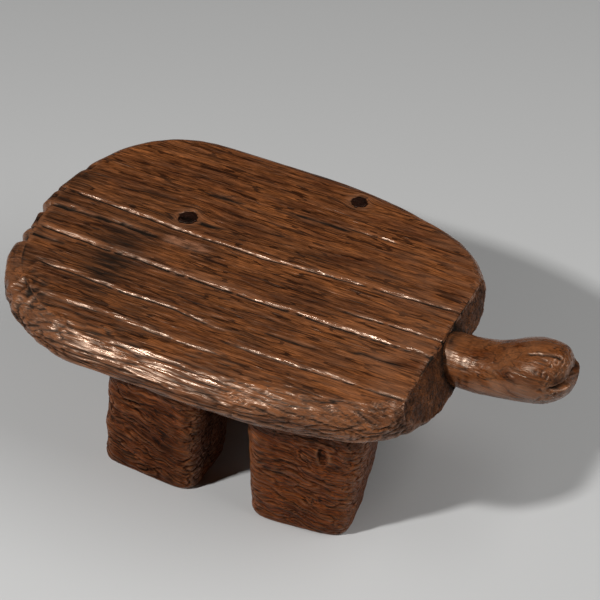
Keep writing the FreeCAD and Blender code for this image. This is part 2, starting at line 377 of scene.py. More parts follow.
@dataclass
class Piece:
    """A part of the stool that replaces a CAD node.

    Attributes:
        node: the CAD node's name, which the piece keeps.
        slot: the record's material slot; not used.
    """

    node: str
    slot: Slot

    def shape(self) -> bmesh.types.BMesh:
        """Builds the mesh in millimetres."""
        raise NotImplementedError

    def mark(self, shape: bmesh.types.BMesh) -> None:
        """Writes the grain's place and how hollow, worn or bare each vertex is; hollows darken partly as
        painted shade and ridges lighten partly as a painted highlight.

        Args:
            shape: the finished mesh in millimetres.
        """
        layers = shape.verts.layers
        hollow, worn, bare = (layers.float.new(mark.value) for mark in (Mark.DIRT_AND_SHADE, Mark.WEAR_AND_HIGHLIGHT, Mark.BARE))
        grain = layers.float_vector.new(Mark.GRAIN.value)
        calm = shape.copy()
        axes = {f"use_axis_{axis}": True for axis in "xyz"}
        for _ in range(CALM_ROUNDS):
            bmesh.ops.smooth_vert(calm, verts=calm.verts, factor=0.5, **axes)
        for vertex, smooth in zip(shape.verts, calm.verts):
            relief = (vertex.co - smooth.co).dot(vertex.normal)
            # a ridge's height lightens a vertex as wear and partly as a painted highlight; a hollow's depth
            # darkens it as dirt and partly as painted shade
            vertex[worn] = clamp(max(0.0, relief / LIGHTEST_RISE) + self.wear(vertex.co))
            kept = 1.0 - WIPED * vertex[worn]
            vertex[hollow] = min(1.0, max(0.0, -relief / DARKEST_SINK) + kept * self.dirt(vertex.co))
            vertex[bare] = self.bare(vertex.co)
            vertex[grain] = self.grain(vertex.co)
        calm.free()

    def dirt(self, place: Vector) -> float:
        """How much a point is darkened beyond what its hollow holds: dirt, and in some pieces painted
        shade.
        """
        return 0.0

    def wear(self, place: Vector) -> float:
        """How much a point is rubbed smooth and lightened beyond what its ridge gives; the lighter colour
        is partly a painted highlight.
        """
        return 0.0

    def bare(self, place: Vector) -> float:
        """How much the dark surface has flaked off at a point, from 0 to 1."""
        return 0.0

    def grain(self, place: Vector) -> Vector:
        """The grain's coordinates in metres at a point in millimetres."""
        return grain_place(place)

    def build(self, material: bpy.types.Material) -> bpy.types.Object:
        """Makes the piece's object and puts it in the CAD node's place.

        Args:
            material: its finish.

        Returns:
            The finished object.
        """
        shape = self.shape()
        low, high = (corner / MM for corner in CAD_BOX)
        for vertex in shape.verts:
            inside = (min(max(place, least), most) for place, least, most in zip(vertex.co, low, high))
            vertex.co = Vector(inside)
        bmesh.ops.recalc_face_normals(shape, faces=shape.faces)
        shape.normal_update()
        self.mark(shape)
        bmesh.ops.scale(shape, vec=(MM, MM, MM), verts=shape.verts)
        for face in shape.faces:
            face.smooth = True
        mesh = bpy.data.meshes.new(self.node)
        shape.to_mesh(mesh)
        shape.free()
        mesh.materials.append(material)
        piece = bpy.data.objects.new(f"{self.node}_wood", mesh)
        bpy.context.scene.collection.objects.link(piece)
        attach(piece, "root")
        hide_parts(self.node)
        triangles = sum(len(polygon.vertices) - 2 for polygon in mesh.polygons)
        log.info("%s: %d triangles", piece.name, triangles)
        return piece


@dataclass
class RingPiece(Piece):
    """A piece that is built as a stack of rings, closed at both ends.

    Attributes:
        segments: faces round each ring.
        rings: steps from the first ring to the last.
    """

    segments: int = 96
    rings: int = 21

    def ring_point(self, step: int, angle: float) -> Vector:
        """The surface's point on one ring in one direction, in millimetres."""
        raise NotImplementedError

    def shape(self) -> bmesh.types.BMesh:
        """Builds the rings from the first to the last and closes both ends.

        Returns:
            The mesh in millimetres.
        """
        shape = bmesh.new()
        bmesh.ops.create_circle(shape, cap_ends=False, segments=self.segments, radius=1.0)
        angles = shape.verts.layers.float.new("angle")
        for vertex in shape.verts:
            vertex[angles] = math.atan2(vertex.co.y, vertex.co.x)
        first = list(shape.edges)
        edges, ring = first, list(shape.verts)
        for step in range(self.rings + 1):
            if step:
                edges, ring = grow_ring(shape, edges)
                edges = [edge for edge in edges if edge not in first]
            for vertex in ring:
                vertex.co = self.ring_point(step, vertex[angles])
        for end in (edges, first):
            bmesh.ops.holes_fill(shape, edges=end, sides=0)
        return shape


# Waves along a crack as strength, length and seed: of its line, its depth and the width of its far wall
LINE_WAVES = ((1.0, 34.0, 0.0), (0.35, 9.0, 5.0))
DEPTH_WAVES = ((0.6, 26.0, 9.0), (0.35, 7.5, 4.0))
WALL_WAVES = ((0.6, 24.0, 2.0), (0.3, 5.0, 6.0))
# The crack's near edge and near wall by the distance from its line, and the edge's share of the depth
NEAR_EDGE = Fade(-2.6, -0.9)
NEAR_WALL = Fade(-0.9, -0.4)
EDGE_SHARE = 0.12
# Where the crack's darkening starts at the near wall
CRACK_DARK_START = Fade(-2.0, -0.9)
# The shallow sink along both sides of a crack, as a share of its depth, and how fast it fades
SHOULDER = 0.16
SHOULDER_FADE = 5.0
# How far from its line a crack cuts, is darkened and is worn
CUT_REACH, CRACK_DARK_REACH, WEAR_REACH = 16.0, 6.0, 10.0


@dataclass(frozen=True)
class Crack:
    """A drying crack along the grain of the seat's top.

    Attributes:
        path: (x, y) corners from the tail end towards the head.
        depth: how deep it goes.
        slope: width of its worn far wall as a multiple of the depth; the near wall is steep.
        bottom: where its dirty bottom ends and the far wall starts to rise.
        fade: length over which each end dies out.
        wander: how far it strays from its path.
    """

    path: Points
    depth: float = 2.4
    slope: float = 1.05
    bottom: float = 1.6
    fade: float = 22.0
    wander: float = 1.0

    def waver(self, along: float, waves: tuple[tuple[float, float, float], ...]) -> float:
        """The sum of some waves at an x.

        Args:
            along: the x.
            waves: strength, length and seed of each.

        Returns:
            The sum.
        """
        first = self.path[0][1]
        return sum(
            share * noise.noise(Vector((along / length, first, seed))) for share, length, seed in waves
        )

    def across(self, along: float) -> float:
        """The crack's y at an x."""
        return along_points(self.path, along) + self.wander * self.waver(along, LINE_WAVES)

    def strength(self, along: float) -> float:
        """The share of its depth at an x, which comes and goes along it.

        Args:
            along: the x.

        Returns:
            The share; 1 is its depth.
        """
        start, end = self.path[0][0], self.path[-1][0]
        opening = ease(start - self.fade, start + self.fade, along)
        closing = ease(end + self.fade, end - self.fade, along)
        return opening * closing * max(0.15, 0.75 + self.waver(along, DEPTH_WAVES))

    def full(self, along: float) -> float:
        """How much darkening or wear it takes at an x, from 0 to 1."""
        return min(1.0, 1.4 * self.strength(along))

    def lean(self, along: float) -> float:
        """The width of the far wall at an x, which varies along the crack."""
        return self.slope * self.depth * (0.95 + self.waver(along, WALL_WAVES))

    def off(self, along: float, across: float, reach: float) -> float | None:
        """How far a point lies behind the crack's line, or None beyond a reach.

        Args:
            along: the point's x.
            across: its y.
            reach: how far from the line it counts.

        Returns:
            The distance in millimetres, or None.
        """
        start, end = self.path[0][0], self.path[-1][0]
        if not start - self.fade < along < end + self.fade:
            return None
        off = across - self.across(along)
        return off if abs(off) < reach else None

    def cut(self, along: float, across: float) -> float:
        """How deep the crack lowers the top at a point.

        Args:
            along: the point's x.
            across: its y.

        Returns:
            A depth in millimetres.
        """
        off = self.off(along, across, CUT_REACH)
        if off is None:
            return 0.0
        if off < self.bottom:
            groove = EDGE_SHARE * NEAR_EDGE.at(off) + (1.0 - EDGE_SHARE) * NEAR_WALL.at(off)
        else:
            groove = max(0.0, 1.0 - (off - self.bottom) / self.lean(along))
        shoulder = SHOULDER * math.exp(-abs(off) / SHOULDER_FADE)
        return self.depth * self.strength(along) * (groove + shoulder)

    def dirt(self, along: float, across: float) -> float:
        """How dark the crack's bottom is made at a point, from 0 to 1.

        Args:
            along: the point's x.
            across: its y.

        Returns:
            A share from 0 to 1.
        """
        off = self.off(along, across, CRACK_DARK_REACH)
        if off is None:
            return 0.0
        # the bottom of the crack is darkened
        return self.full(along) * CRACK_DARK_START.at(off) * ease(self.bottom + 0.9, self.bottom, off)

    def wear(self, along: float, across: float) -> float:
        """How much the far wall is rubbed smooth and lightened at a point, from 0 to 1; the lighter colour
        is partly a painted highlight.

        Args:
            along: the point's x.
            across: its y.

        Returns:
            A share from 0 to 1.
        """
        off = self.off(along, across, WEAR_REACH)
        if off is None:
            return 0.0
        end = self.bottom + self.lean(along)
        broken = clamp(0.6 + 1.1 * noise.noise(Vector((along / 6.0, across / 2.5, 8.0))))
        wall = ease(self.bottom, self.bottom + 0.8, off) * ease(end + 1.5, end, off)
        # the far wall is lightened partly as a painted highlight
        return self.full(along) * broken * wall


# Long cracks that the rows of the seat's top follow, from the near rim to the far one
RAIL_CRACKS = (
    Crack(((-208, -119), (-143, -117), (-93, -119), (-43, -120), (-18, -118)), depth=2.0),
    Crack(((-23, -102), (57, -101), (157, -99)), depth=2.2),
    Crack(((-243, -78), (-193, -80), (-143, -83), (-93, -82), (-43, -88)), depth=2.2),
    Crack(((-276, -32), (-193, -35), (-43, -38), (57, -37), (160, -37)), depth=3.0, bottom=2.3, fade=12.0),
    Crack(((57, -15), (107, -13), (160, -12)), depth=2.0),
    Crack(
        ((-258, 27), (-193, 24), (-143, 21), (-43, 20), (7, 23), (57, 26), (107, 29), (155, 32)), depth=2.5
    ),
    Crack(((12, 97), (62, 97)), depth=1.9, bottom=0.9),
)

# Short cracks and splits, which the plain rows carry
SHORT_CRACKS = (
    Crack(((-290, -4), (-263, 1), (-193, 4), (-163, 1)), depth=2.4, bottom=2.4),
    Crack(((-290, -51), (-268, -46), (-233, -46)), depth=2.0, bottom=2.4, fade=10.0),
    Crack(((-53, 92), (7, 93)), depth=1.0),
    Crack(((-128, 40), (-103, 40)), depth=1.2, fade=10.0),
    Crack(((-133, 83), (-103, 83)), depth=0.9, fade=12.0),
    Crack(((87, -60), (127, -60)), depth=1.2, fade=14.0),
    Crack(((7, -73), (52, -73)), depth=1.3, fade=14.0),
    Crack(((-188, -146), (-153, -146)), depth=1.6, fade=10.0),
)
CRACKS = RAIL_CRACKS + SHORT_CRACKS

# Places where a crack reaches the tail end and opens the edge: y, depth and half width
TAIL_NOTCHES = (
    (-4.0, 16.0, 8.0), (-52.0, 14.0, 8.0), (-33.0, 5.0, 4.0),
    (27.0, 3.0, 5.0), (68.0, 1.5, 8.0), (-26.0, 4.0, 27.0),
)


class Outline:
    """The seat's rim seen from above, read from its CAD node."""

    # Rounds of smoothing and how many neighbours on each side they take
    ROUNDS, NEIGHBOURS = 3, 7
    # Each part of a normal that points at a corner of the tail
    DIAGONAL = 0.707

    def __init__(
        self, node: str, inset: Callable[[Vector, Vector], float], front: float, count: int = 1600
    ) -> None:
        """Samples the rim evenly and finds the corners of the top.

        Args:
            node: the CAD node.
            inset: gives how far the top's edge lies inside a rim point with its outward normal.
            front: x of the top's straight front edge.
            count: number of samples.
        """
        corners = [Vector((vertex.co.x, vertex.co.y)) / MM for vertex in frame["nodes"][node].data.vertices]
        hull = [corners[index] for index in geometry.convex_hull_2d(corners)]
        points = self.even(hull, count)
        for _ in range(self.ROUNDS):
            points = [self.mean(points, index, self.NEIGHBOURS) for index in range(count)]
        tangents = [points[(index + 1) % count] - points[index - 1] for index in range(count)]
        normals = [Vector((tangent.y, -tangent.x)).normalized() for tangent in tangents]
        start = self.facing(normals, Vector((-self.DIAGONAL, -self.DIAGONAL)))
        self.points = points[start:] + points[:start]
        self.normals = normals[start:] + normals[:start]
        self.inset = [
            point - inset(point, normal) * normal for point, normal in zip(self.points, self.normals)
        ]
        beyond = [index for index in range(count) if self.inset[index].x >= front]
        self.near_front = beyond[0]
        self.far_front = beyond[-1]
        self.far_rear = self.facing(self.normals, Vector((-self.DIAGONAL, self.DIAGONAL)))
        self.front_heights = [point.y for point in self.inset[self.near_front:self.far_front + 1]]
        self.rear_heights = [-point.y for point in self.inset[self.far_rear:]]

    @staticmethod
    def facing(normals: list, way: Vector) -> int:
        """The number of the normal that comes closest to a direction."""
        return min(range(len(normals)), key=lambda index: (normals[index] - way).length)

    @staticmethod
    def even(hull: list, count: int) -> list:
        """Spaces points evenly along a closed polygon.

        Args:
            hull: its corners.
            count: number of points.

        Returns:
            The points.
        """
        lengths = [(hull[index] - hull[index - 1]).length for index in range(len(hull))]
        step = sum(lengths) / count
        points = []
        walked = 0.0
        for index, length in enumerate(lengths):
            start, end = hull[index - 1], hull[index]
            while len(points) * step < walked + length and len(points) < count:
                points.append(start.lerp(end, (len(points) * step - walked) / length))
            walked += length
        return points

    @staticmethod
    def mean(points: list, index: int, reach: int) -> Vector:
        """The mean of a point and its neighbours."""
        near = [points[(index + step) % len(points)] for step in range(-reach, reach + 1)]
        return sum(near, Vector((0.0, 0.0))) / len(near)

    def at(self, index: float) -> tuple[Vector, Vector]:
        """A rim point and its outward normal at a place between two samples.

        Args:
            index: the place, as a sample's number with a fraction.

        Returns:
            The point and the normal.
        """
        low = int(index) % len(self.points)
        high = (low + 1) % len(self.points)
        share = index - int(index)
        point = self.points[low].lerp(self.points[high], share)
        return point, self.normals[low].lerp(self.normals[high], share).normalized()

    def near(self, share: float) -> tuple[Vector, Vector]:
        """The near side, from the tail's corner to the front corner."""
        return self.at(share * self.near_front)

    def far(self, share: float) -> tuple[Vector, Vector]:
        """The far side, from the tail's corner to the front corner."""
        return self.at(self.far_rear + (self.far_front - self.far_rear) * share)

    def front(self, across: float) -> tuple[Vector, Vector]:
        """The rim in front of a y."""
        return self.at(self.near_front + self.found(self.front_heights, across))

    def rear(self, across: float) -> tuple[Vector, Vector]:
        """The rim behind a y."""
        return self.at(self.far_rear + self.found(self.rear_heights, -across))

    @staticmethod
    def found(heights: list, height: float) -> float:
        """The place of a height between the samples of a rising list.

        Args:
            heights: the list.
            height: the height.

        Returns:
            A sample's number with a fraction.
        """
        high = min(len(heights) - 1, max(1, bisect_left(heights, height)))
        share = (height - heights[high - 1]) / (heights[high] - heights[high - 1])
        return high - 1 + clamp(share)


# Unevenness of the seat's top and rim, and of the wear on them, which is lightened partly as a painted
# highlight
TOP_LAYERS = (Layer(1.1, 130.0, 52.0), Layer(0.5, 55.0, 5.5, 3.0), Layer(0.28, 24.0, 2.6, 7.0))
TOP_TEARS = (Layer(1.0, 90.0, 7.0, 1.0), Layer(0.6, 50.0, 4.5, 4.0, line=0.2))
RIM_TEARS = (Layer(1.0, 120.0, 9.0, 1.0), Layer(0.7, 60.0, 5.5, 4.0, line=0.2))
RIM_RIDGES = Layer(1.0, 70.0, 9.0, 2.0)
RIM_FIBRES = Layer(0.35, 40.0, 3.6, 11.0)
RIM_SWELL = Layer(1.0, 60.0, 22.0, 8.0)
FRONT_SHINE = Layer(1.0, 30.0, 7.0, 12.0)
RIM_SHINE = Layer(0.9, 40.0, 9.0, 6.0)
# Sides of the seat, by a part of the rim's outward normal
WORN_NEAR = Fade(0.35, 0.9)
TORN_NEAR = Fade(0.2, 0.8)
TAIL_SIDE = Fade(0.3, 0.9)
FRONT_SIDE = Fade(0.5, 0.9)
FAR_FRONT = Fade(0.5, 0.95)
NECK_SIDE = Fade(0.8, 0.99)
# The near corner of the tail and the near flank, by the normal's part in a direction
CORNER_WAY = Vector((-0.84, -0.54, 0.0))
CORNER = Fade(0.925, 0.985)
FLANK_WAY = Vector((-0.45, -0.9, 0.0))
FLANK = Fade(0.5, 0.9)
FLANK_END = Fade(0.25, -0.15)
# Parts of the top and the rim, by x or y
NEAR_EDGE_TEARS = Fade(-105.0, -140.0)
NEAR_SHINE = Fade(-60.0, -110.0)
HEAD_SHINE = Fade(20.0, 140.0)
HEAD_DULL = Fade(40.0, 110.0)
TAIL_STAIN = Fade(-60.0, -200.0)
STAIN_FAR = Fade(85.0, 45.0)
STAIN_HEAD = Fade(120.0, 50.0)
LEFT_OF_NECK = Fade(0.0, 40.0)
NECK_NEAR = Fade(-120.0, -45.0)
NECK_FAR = Fade(12.0, -20.0)
# Parts of the rim, by the depth below the top
CORNER_TOP = Fade(2.0, 10.0)
CORNER_FOOT = Fade(36.0, 24.0)
FLANK_FOOT = Fade(27.0, 40.0)
LOWER_EDGE = Fade(14.0, 34.0)
NOTCH_FOOT = Fade(38.0, 10.0)
CRACK_FOOT = Fade(26.0, 2.0)
# The flaked patch by the middle of the top: its ends along x and its sides along y
FLAKE_ENDS = (Fade(-150.0, -143.0), Fade(-92.0, -112.0))
FLAKE_SIDES = (Fade(-1.0, 1.0), Fade(13.0, 9.0))
# The gnarled wood at the near corner of the tail, and an old stain by the middle
GNARL = Spot(-240.0, -108.0, 40.0, 42.0)
GNARL_SUNK = Fade(1.25, 0.3)
GNARL_DIRT = Fade(1.25, 0.6)
STAIN = Spot(-13.0, -86.0, 34.0, 12.0)
STAIN_EDGE = Fade(1.0, 0.2)
# Height of the neck's axis at the front face, and the painted shade round it by the distance from the axis
NECK_AXIS = 180.0
NECK_SHADE = Fade(36.0, 24.0)


@dataclass
class Seat(Piece):
    """The slab that is the turtle's shell.

    Attributes:
        top_rim: radius of the top's rounded rim.
        lower_rim: radius of the rim below.
        slope: how far the front face runs out from its top edge to the underside.
        front_wear: how far the front face is worn back from the CAD rim.
        columns: faces along the seat's length.
        land_pitch: spacing of the rows between the cracks.
        crack_rows: places of the rows about a crack, in millimetres from its line.
        strip_gap: least width of a strip of rows.
        rim_rings: rings of the upper rim, the side and the lower rim.
        under_rings: rings of the underside.
        corner_swell: how far the near corner of the tail stands out.
        flank_cut: how far the foot of the near flank is rounded off.
        neck_swell: how far the lower front edge beside the neck stands out.
        shoulder: depth below the top down to which the near rim is worn and lightened, partly as a painted
            highlight.
    """

    top_rim: float = 13.0
    lower_rim: float = 22.0
    slope: float = 18.0
    front_wear: float = 3.8
    columns: int = 164
    land_pitch: float = 2.4
    crack_rows: tuple[float, ...] = (
        -4.4, -2.8, -1.7, -0.95, -0.6, -0.3, 0.3, 0.9, 1.4, 1.8, 2.4, 3.1, 4.0, 5.2, 6.8,
    )
    strip_gap: float = 3.0
    rim_rings: tuple[int, int, int] = (19, 9, 15)
    under_rings: int = 9
    corner_swell: float = 4.5
    flank_cut: float = 6.5
    neck_swell: float = 7.0
    shoulder: float = 18.0

    def __post_init__(self) -> None:
        """Reads the slab's place from its CAD node."""
        low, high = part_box(self.node)
        self.bottom = low.z / MM
        self.top = high.z / MM
        self.thickness = self.top - self.bottom
        # Depth below the top where the side ends and the lower rim starts
        self.side_end = self.thickness - self.lower_rim
        # The sloped front face reaches its full length there, so its top edge lies farther back
        self.front = high.x / MM - self.slope * self.side_end / self.thickness - self.front_wear
        self.outline = Outline(self.node, self.rim_width, self.front)

    def rim_width(self, point: Vector, normal: Vector) -> float:
        """How far the rounded upper rim reaches in at a rim point; the near rim is worn wider."""
        wider = 0.55 + 0.3 * noise.noise(Vector((point.x / 45.0, 0.0, 3.0)))
        return self.top_rim * (1.0 + WORN_NEAR.at(-normal.y) * wider)

    def rim_edge(self, rim: tuple[Vector, Vector]) -> Vector:
        """Where the flat top ends inside a rim point with its normal."""
        point, normal = rim
        return point - self.rim_width(point, normal) * normal

    def rim_ring(self, inset: float, drop: float, point: Vector, normal: Vector) -> tuple[float, float]:
        """Where a ring above the lower rim lies at a rim point; the near rim is worn to a slope.

        Args:
            inset: the ring's inset on an unworn rim.
            drop: its depth below the top there.
            point: the rim point.
            normal: its outward normal.

        Returns:
            The inset and drop with the wear.
        """
        near = WORN_NEAR.at(-normal.y)
        deep = self.top_rim * (1.0 + 0.4 * near)
        if drop >= self.top_rim:
            share = (drop - self.top_rim) / (self.side_end - self.top_rim)
            return inset, deep + (self.side_end - deep) * share
        turn = math.acos(1.0 - drop / self.top_rim) / (math.pi / 2)
        flat = 0.6 * near
        out = inset / self.top_rim + flat * (1.0 - turn - inset / self.top_rim)
        down = drop / self.top_rim + flat * (turn - drop / self.top_rim)
        return self.rim_width(point, normal) * out, deep * down

    def rows(self) -> list[tuple[int, float]]:
        """Every row of the top as a strip's number and a share across it.

        Returns:
            The rows from the near rim to the far one.
        """
        first, last = self.crack_rows[0], self.crack_rows[-1]
        middles = [crack.path[0][1] for crack in RAIL_CRACKS]
        half_width = 150.0
        edges = [-half_width, *middles, half_width]
        rows = [(0, 0.0)]
        for strip in range(2 * len(RAIL_CRACKS) + 1):
            if strip % 2:
                shares = [(row - first) / (last - first) for row in self.crack_rows[1:]]
            else:
                width = edges[strip // 2 + 1] - edges[strip // 2] - (last - first)
                count = max(3, round(width / self.land_pitch))
                shares = [step / count for step in range(1, count + 1)]
            rows.extend((strip, share) for share in shares)
        return rows

    def column(self, share: float, rows: list[tuple[int, float]]) -> list[tuple[float, float]]:
        """Places one column of the top's grid.

        Args:
            share: the column's place from the tail end to the front.
            rows: the rows from rows().

        Returns:
            (x, y) of each row.
        """
        start, end = (self.rim_edge(side(share)) for side in (self.outline.near, self.outline.far))
        tail_near, tail_far = self.outline.inset[0], self.outline.inset[self.outline.far_rear]

        def along(across: float) -> float:
            """The column's x at a y, bowed like the tail end.

            Args:
                across: the y.

            Returns:
                The x.
            """
            part = clamp((across - start.y) / (end.y - start.y))
            inner = self.rim_edge(self.outline.rear(tail_near.y + (tail_far.y - tail_near.y) * part))
            bulge = inner.x - (tail_near.x + (tail_far.x - tail_near.x) * part)
            return start.x + (end.x - start.x) * part + bulge * (1 - share) ** 2

        ties = [start.y]
        for crack in RAIL_CRACKS:
            middle = crack.across(along(crack.path[0][1]))
            ties.extend((middle + self.crack_rows[0], middle + self.crack_rows[-1]))
        ties.append(end.y)
        for index in range(1, len(ties)):
            ties[index] = max(ties[index], ties[index - 1] + self.strip_gap)
        ties[-1] = end.y
        for index in range(len(ties) - 2, 0, -1):
            ties[index] = min(ties[index], ties[index + 1] - self.strip_gap)
        places = []
        for strip, part in rows:
            across = ties[strip] + (ties[strip + 1] - ties[strip]) * part
            places.append((min(along(across), self.front), across))
        return places

    def rim_steps(self) -> list[tuple[float, float, float, float]]:
        """The rim's rings as inset, drop, and the outward and upward parts of the normal.

        Returns:
            The rings from the top down.
        """
        upper, side, lower = self.rim_rings
        steps = []
        for turn in range(1, upper + 1):
            angle = math.radians(90 * turn / upper)
            out, rise = math.sin(angle), math.cos(angle)
            steps.append((self.top_rim * (1 - out), self.top_rim * (1 - rise), out, rise))
        for step in range(1, side + 1):
            steps.append((0.0, self.top_rim + (self.side_end - self.top_rim) * step / side, 1.0, 0.0))
        for turn in range(1, lower + 1):
            angle = math.radians(90 * turn / lower)
            out, fall = math.cos(angle), math.sin(angle)
            drop = self.thickness - self.lower_rim * (1 - fall)
            steps.append((self.lower_rim * (1 - out), drop, out, -fall))
        return steps

    def top_relief(self, place: Vector) -> float:
        """How high the worn top stands above its flat level at a point.

        Args:
            place: a point in millimetres.

        Returns:
            A distance in millimetres, below zero where it lies deeper.
        """
        height = sum(layer.at(place) for layer in TOP_LAYERS) - 0.6
        height -= sum(crack.cut(place.x, place.y) for crack in CRACKS)
        height -= 0.9 * sum(layer.tear(place) for layer in TOP_TEARS) * NEAR_EDGE_TEARS.at(place.y)
        height -= self.flake(place) * (0.7 - 0.1 * (place.y - 6.0) - 0.7 * lumps(place, 6.0))
        height -= ease(self.front - 7.0, self.front, place.x) * (0.8 + 1.6 * lumps(place, 9.0))
        return height - self.gnarl(place) - sum(knot.sink(place) for knot in KNOTS)

    def on_front(self, place: Vector) -> bool:
        """Whether a point lies on the sloped front face."""
        return place.x > self.front - 2.0 and place.z < self.top - 3.0

    def dirt(self, place: Vector) -> float:
        """How dark a point is made: dark crack bottoms, dirt round the knots, in the gnarl and in old
        stains, and painted shade on the front face and round the neck.

        Args:
            place: a point in millimetres.

        Returns:
            An amount; 1 hides the wood.
        """
        if self.on_front(place):
            # painted shade: the whole front face is darkened, more so round the neck's root
            return 0.42 + 0.5 * NECK_SHADE.at(math.hypot(place.y, place.z - NECK_AXIS))
        if place.z < self.top - 2.0 * self.top_rim:
            return 0.0
        found = max(crack.dirt(place.x, place.y) for crack in CRACKS)
        found += sum(knot.dirt(place) for knot in KNOTS)
        found += 0.4 * STAIN_EDGE.at(STAIN.reach(place.x, place.y))
        found += 0.35 * GNARL_DIRT.at(GNARL.reach(place.x, place.y)) * (0.6 + 0.8 * lumps(place, 20.0))
        stain = 0.18 + 0.26 * TAIL_STAIN.at(place.x)
        blotch = max(0.0, 1.0 + 1.3 * lumps(place, 38.0))
        return found + stain * blotch * STAIN_FAR.at(place.y) * STAIN_HEAD.at(place.x)

    def wear(self, place: Vector) -> float:
        """How much hands and cloth have rubbed the crack walls, the flaked patch, the front of the top and
        the near rim; the lighter colour is partly a painted highlight.

        Args:
            place: a point in millimetres.

        Returns:
            An amount; 1 is smooth, and below zero even ridges stay dull.
        """
        if self.on_front(place):
            return -0.8
        if place.z < self.top - self.shoulder:
            return -0.3
        found = max(crack.wear(place.x, place.y) for crack in CRACKS)
        found += self.flake(place) * (1.0 + 0.4 * lumps(place, 4.0))
        # the front of the top and the near rim's shoulder are lightened partly as a painted highlight
        found += 1.1 * HEAD_SHINE.at(place.x) * max(0.0, 0.3 + FRONT_SHINE.at(place))
        drop = self.top - place.z
        shoulder = ease(self.shoulder, self.shoulder - 6.0, drop) * ease(0.6, 2.0, drop)
        shoulder *= NEAR_SHINE.at(place.y) * (1.0 - 0.7 * HEAD_DULL.at(place.x))
        return found + shoulder * (0.7 + RIM_SHINE.at(place))

    def bare(self, place: Vector) -> float:
        """How much of the flaked patch shows pale wood.

        Args:
            place: a point in millimetres.

        Returns:
            A share from 0 to 1.
        """
        if place.z < self.top - self.top_rim:
            return 0.0
        return self.flake(place) * clamp(0.75 + 0.8 * lumps(place, 4.0))

    @staticmethod
    def flake(place: Vector) -> float:
        """Whether a point lies in the flaked patch, from 0 to 1."""
        ends = math.prod(end.at(place.x) for end in FLAKE_ENDS)
        return ends * math.prod(side.at(place.y) for side in FLAKE_SIDES)

    @staticmethod
    def gnarl(place: Vector) -> float:
        """How far the gnarled wood sinks in at a point."""
        curls = lumps(place, 19.0) + 0.35 * lumps(place, 9.0, UP)
        return GNARL_SUNK.at(GNARL.reach(place.x, place.y)) * 4.2 * max(0.0, abs(curls) - 0.08)

    def rim_relief(self, place: Vector, normal: Vector, drop: float) -> float:
        """How far the torn and carved rim stands out from the plain one.

        Args:
            place: a point of the plain rim or the underside.
            normal: the rim's level outward normal there; zero on the underside.
            drop: the point's depth below the top.

        Returns:
            A distance in millimetres.
        """
        near = TORN_NEAR.at(-normal.y)
        tail = TAIL_SIDE.at(-normal.x)
        calm = 1.0 - 0.7 * tail
        relief = -(0.3 + 1.2 * near) * calm * sum(layer.tear(place) for layer in RIM_TEARS) - 0.2
        relief += (0.3 + 0.9 * near) * calm * RIM_RIDGES.at(place)
        relief += near * calm * RIM_FIBRES.at(place)
        relief += (0.8 * near + 0.9 * tail) * (RIM_SWELL.at(place) - 0.3)
        relief += FRONT_SIDE.at(normal.x) * (1.2 * lumps(place, 15.0) + 0.5 * lumps(place, 5.0) - 0.7)
        corner = CORNER.at(normal.dot(CORNER_WAY))
        relief += self.corner_swell * corner * CORNER_TOP.at(drop) * CORNER_FOOT.at(drop)
        flank = FLANK.at(normal.dot(FLANK_WAY)) * FLANK_END.at(normal.x)
        relief -= self.flank_cut * flank * FLANK_FOOT.at(drop)
        relief -= 2.5 * FAR_FRONT.at(normal.x) * LEFT_OF_NECK.at(place.y) * LOWER_EDGE.at(drop)
        for across, depth, half in TAIL_NOTCHES:
            relief -= tail * depth * ease(half, 0.0, abs(place.y - across)) * NOTCH_FOOT.at(drop)
        return relief - self.gnarl(place)

    def lay_top(self, shape: bmesh.types.BMesh) -> list[tuple[Vector, Vector]]:
        """Lays the grid of the top, with the number of its rim point in each edge vertex.

        Args:
            shape: the empty mesh.

        Returns:
            The rim points with their outward normals.
        """
        rows = self.rows()
        last = len(rows) - 1
        bmesh.ops.create_grid(shape, x_segments=self.columns, y_segments=last, size=1.0)
        parent = shape.verts.layers.int.new("parent")
        parents = []
        columns = [self.column(step / self.columns, rows) for step in range(self.columns + 1)]
        for vertex in shape.verts:
            step = round((vertex.co.x + 1) / 2 * self.columns)
            row = round((vertex.co.y + 1) / 2 * last)
            along, across = columns[step][row]
            if row == 0:
                parents.append(self.outline.near(step / self.columns))
            elif row == last:
                parents.append(self.outline.far(step / self.columns))
            elif step == 0:
                parents.append(self.outline.rear(across))
            elif step == self.columns:
                parents.append(self.outline.front(across))
            vertex[parent] = len(parents) - 1
            vertex.co = Vector((along, across, self.top))
        return parents

    def rim_place(
        self, step: tuple[float, float, float, float], point: Vector, normal: Vector
    ) -> tuple[Vector, Vector]:
        """Places a vertex of the plain rim.

        Args:
            step: its ring from rim_steps().
            point: its rim point.
            normal: the outward normal there.

        Returns:
            The place and the direction it faces.
        """
        inset, drop, outward, upward = step
        beside_neck = NECK_SIDE.at(normal.x) * NECK_NEAR.at(point.y) * NECK_FAR.at(point.y)
        swell = self.neck_swell * beside_neck * LOWER_EDGE.at(drop)
        if drop <= self.side_end:
            inset, drop = self.rim_ring(inset, drop, point, normal)
        else:
            inset *= 1.0 - 0.9 * beside_neck
        plane = self.front + self.slope * drop / self.thickness
        place = point - (inset - swell) * normal
        facing = Vector((normal.x * outward, normal.y * outward, upward))
        if place.x > plane:
            place.x = plane
            facing = Vector((self.thickness, 0.0, self.slope)).normalized()
        return Vector((place.x, place.y, self.top - drop)), facing

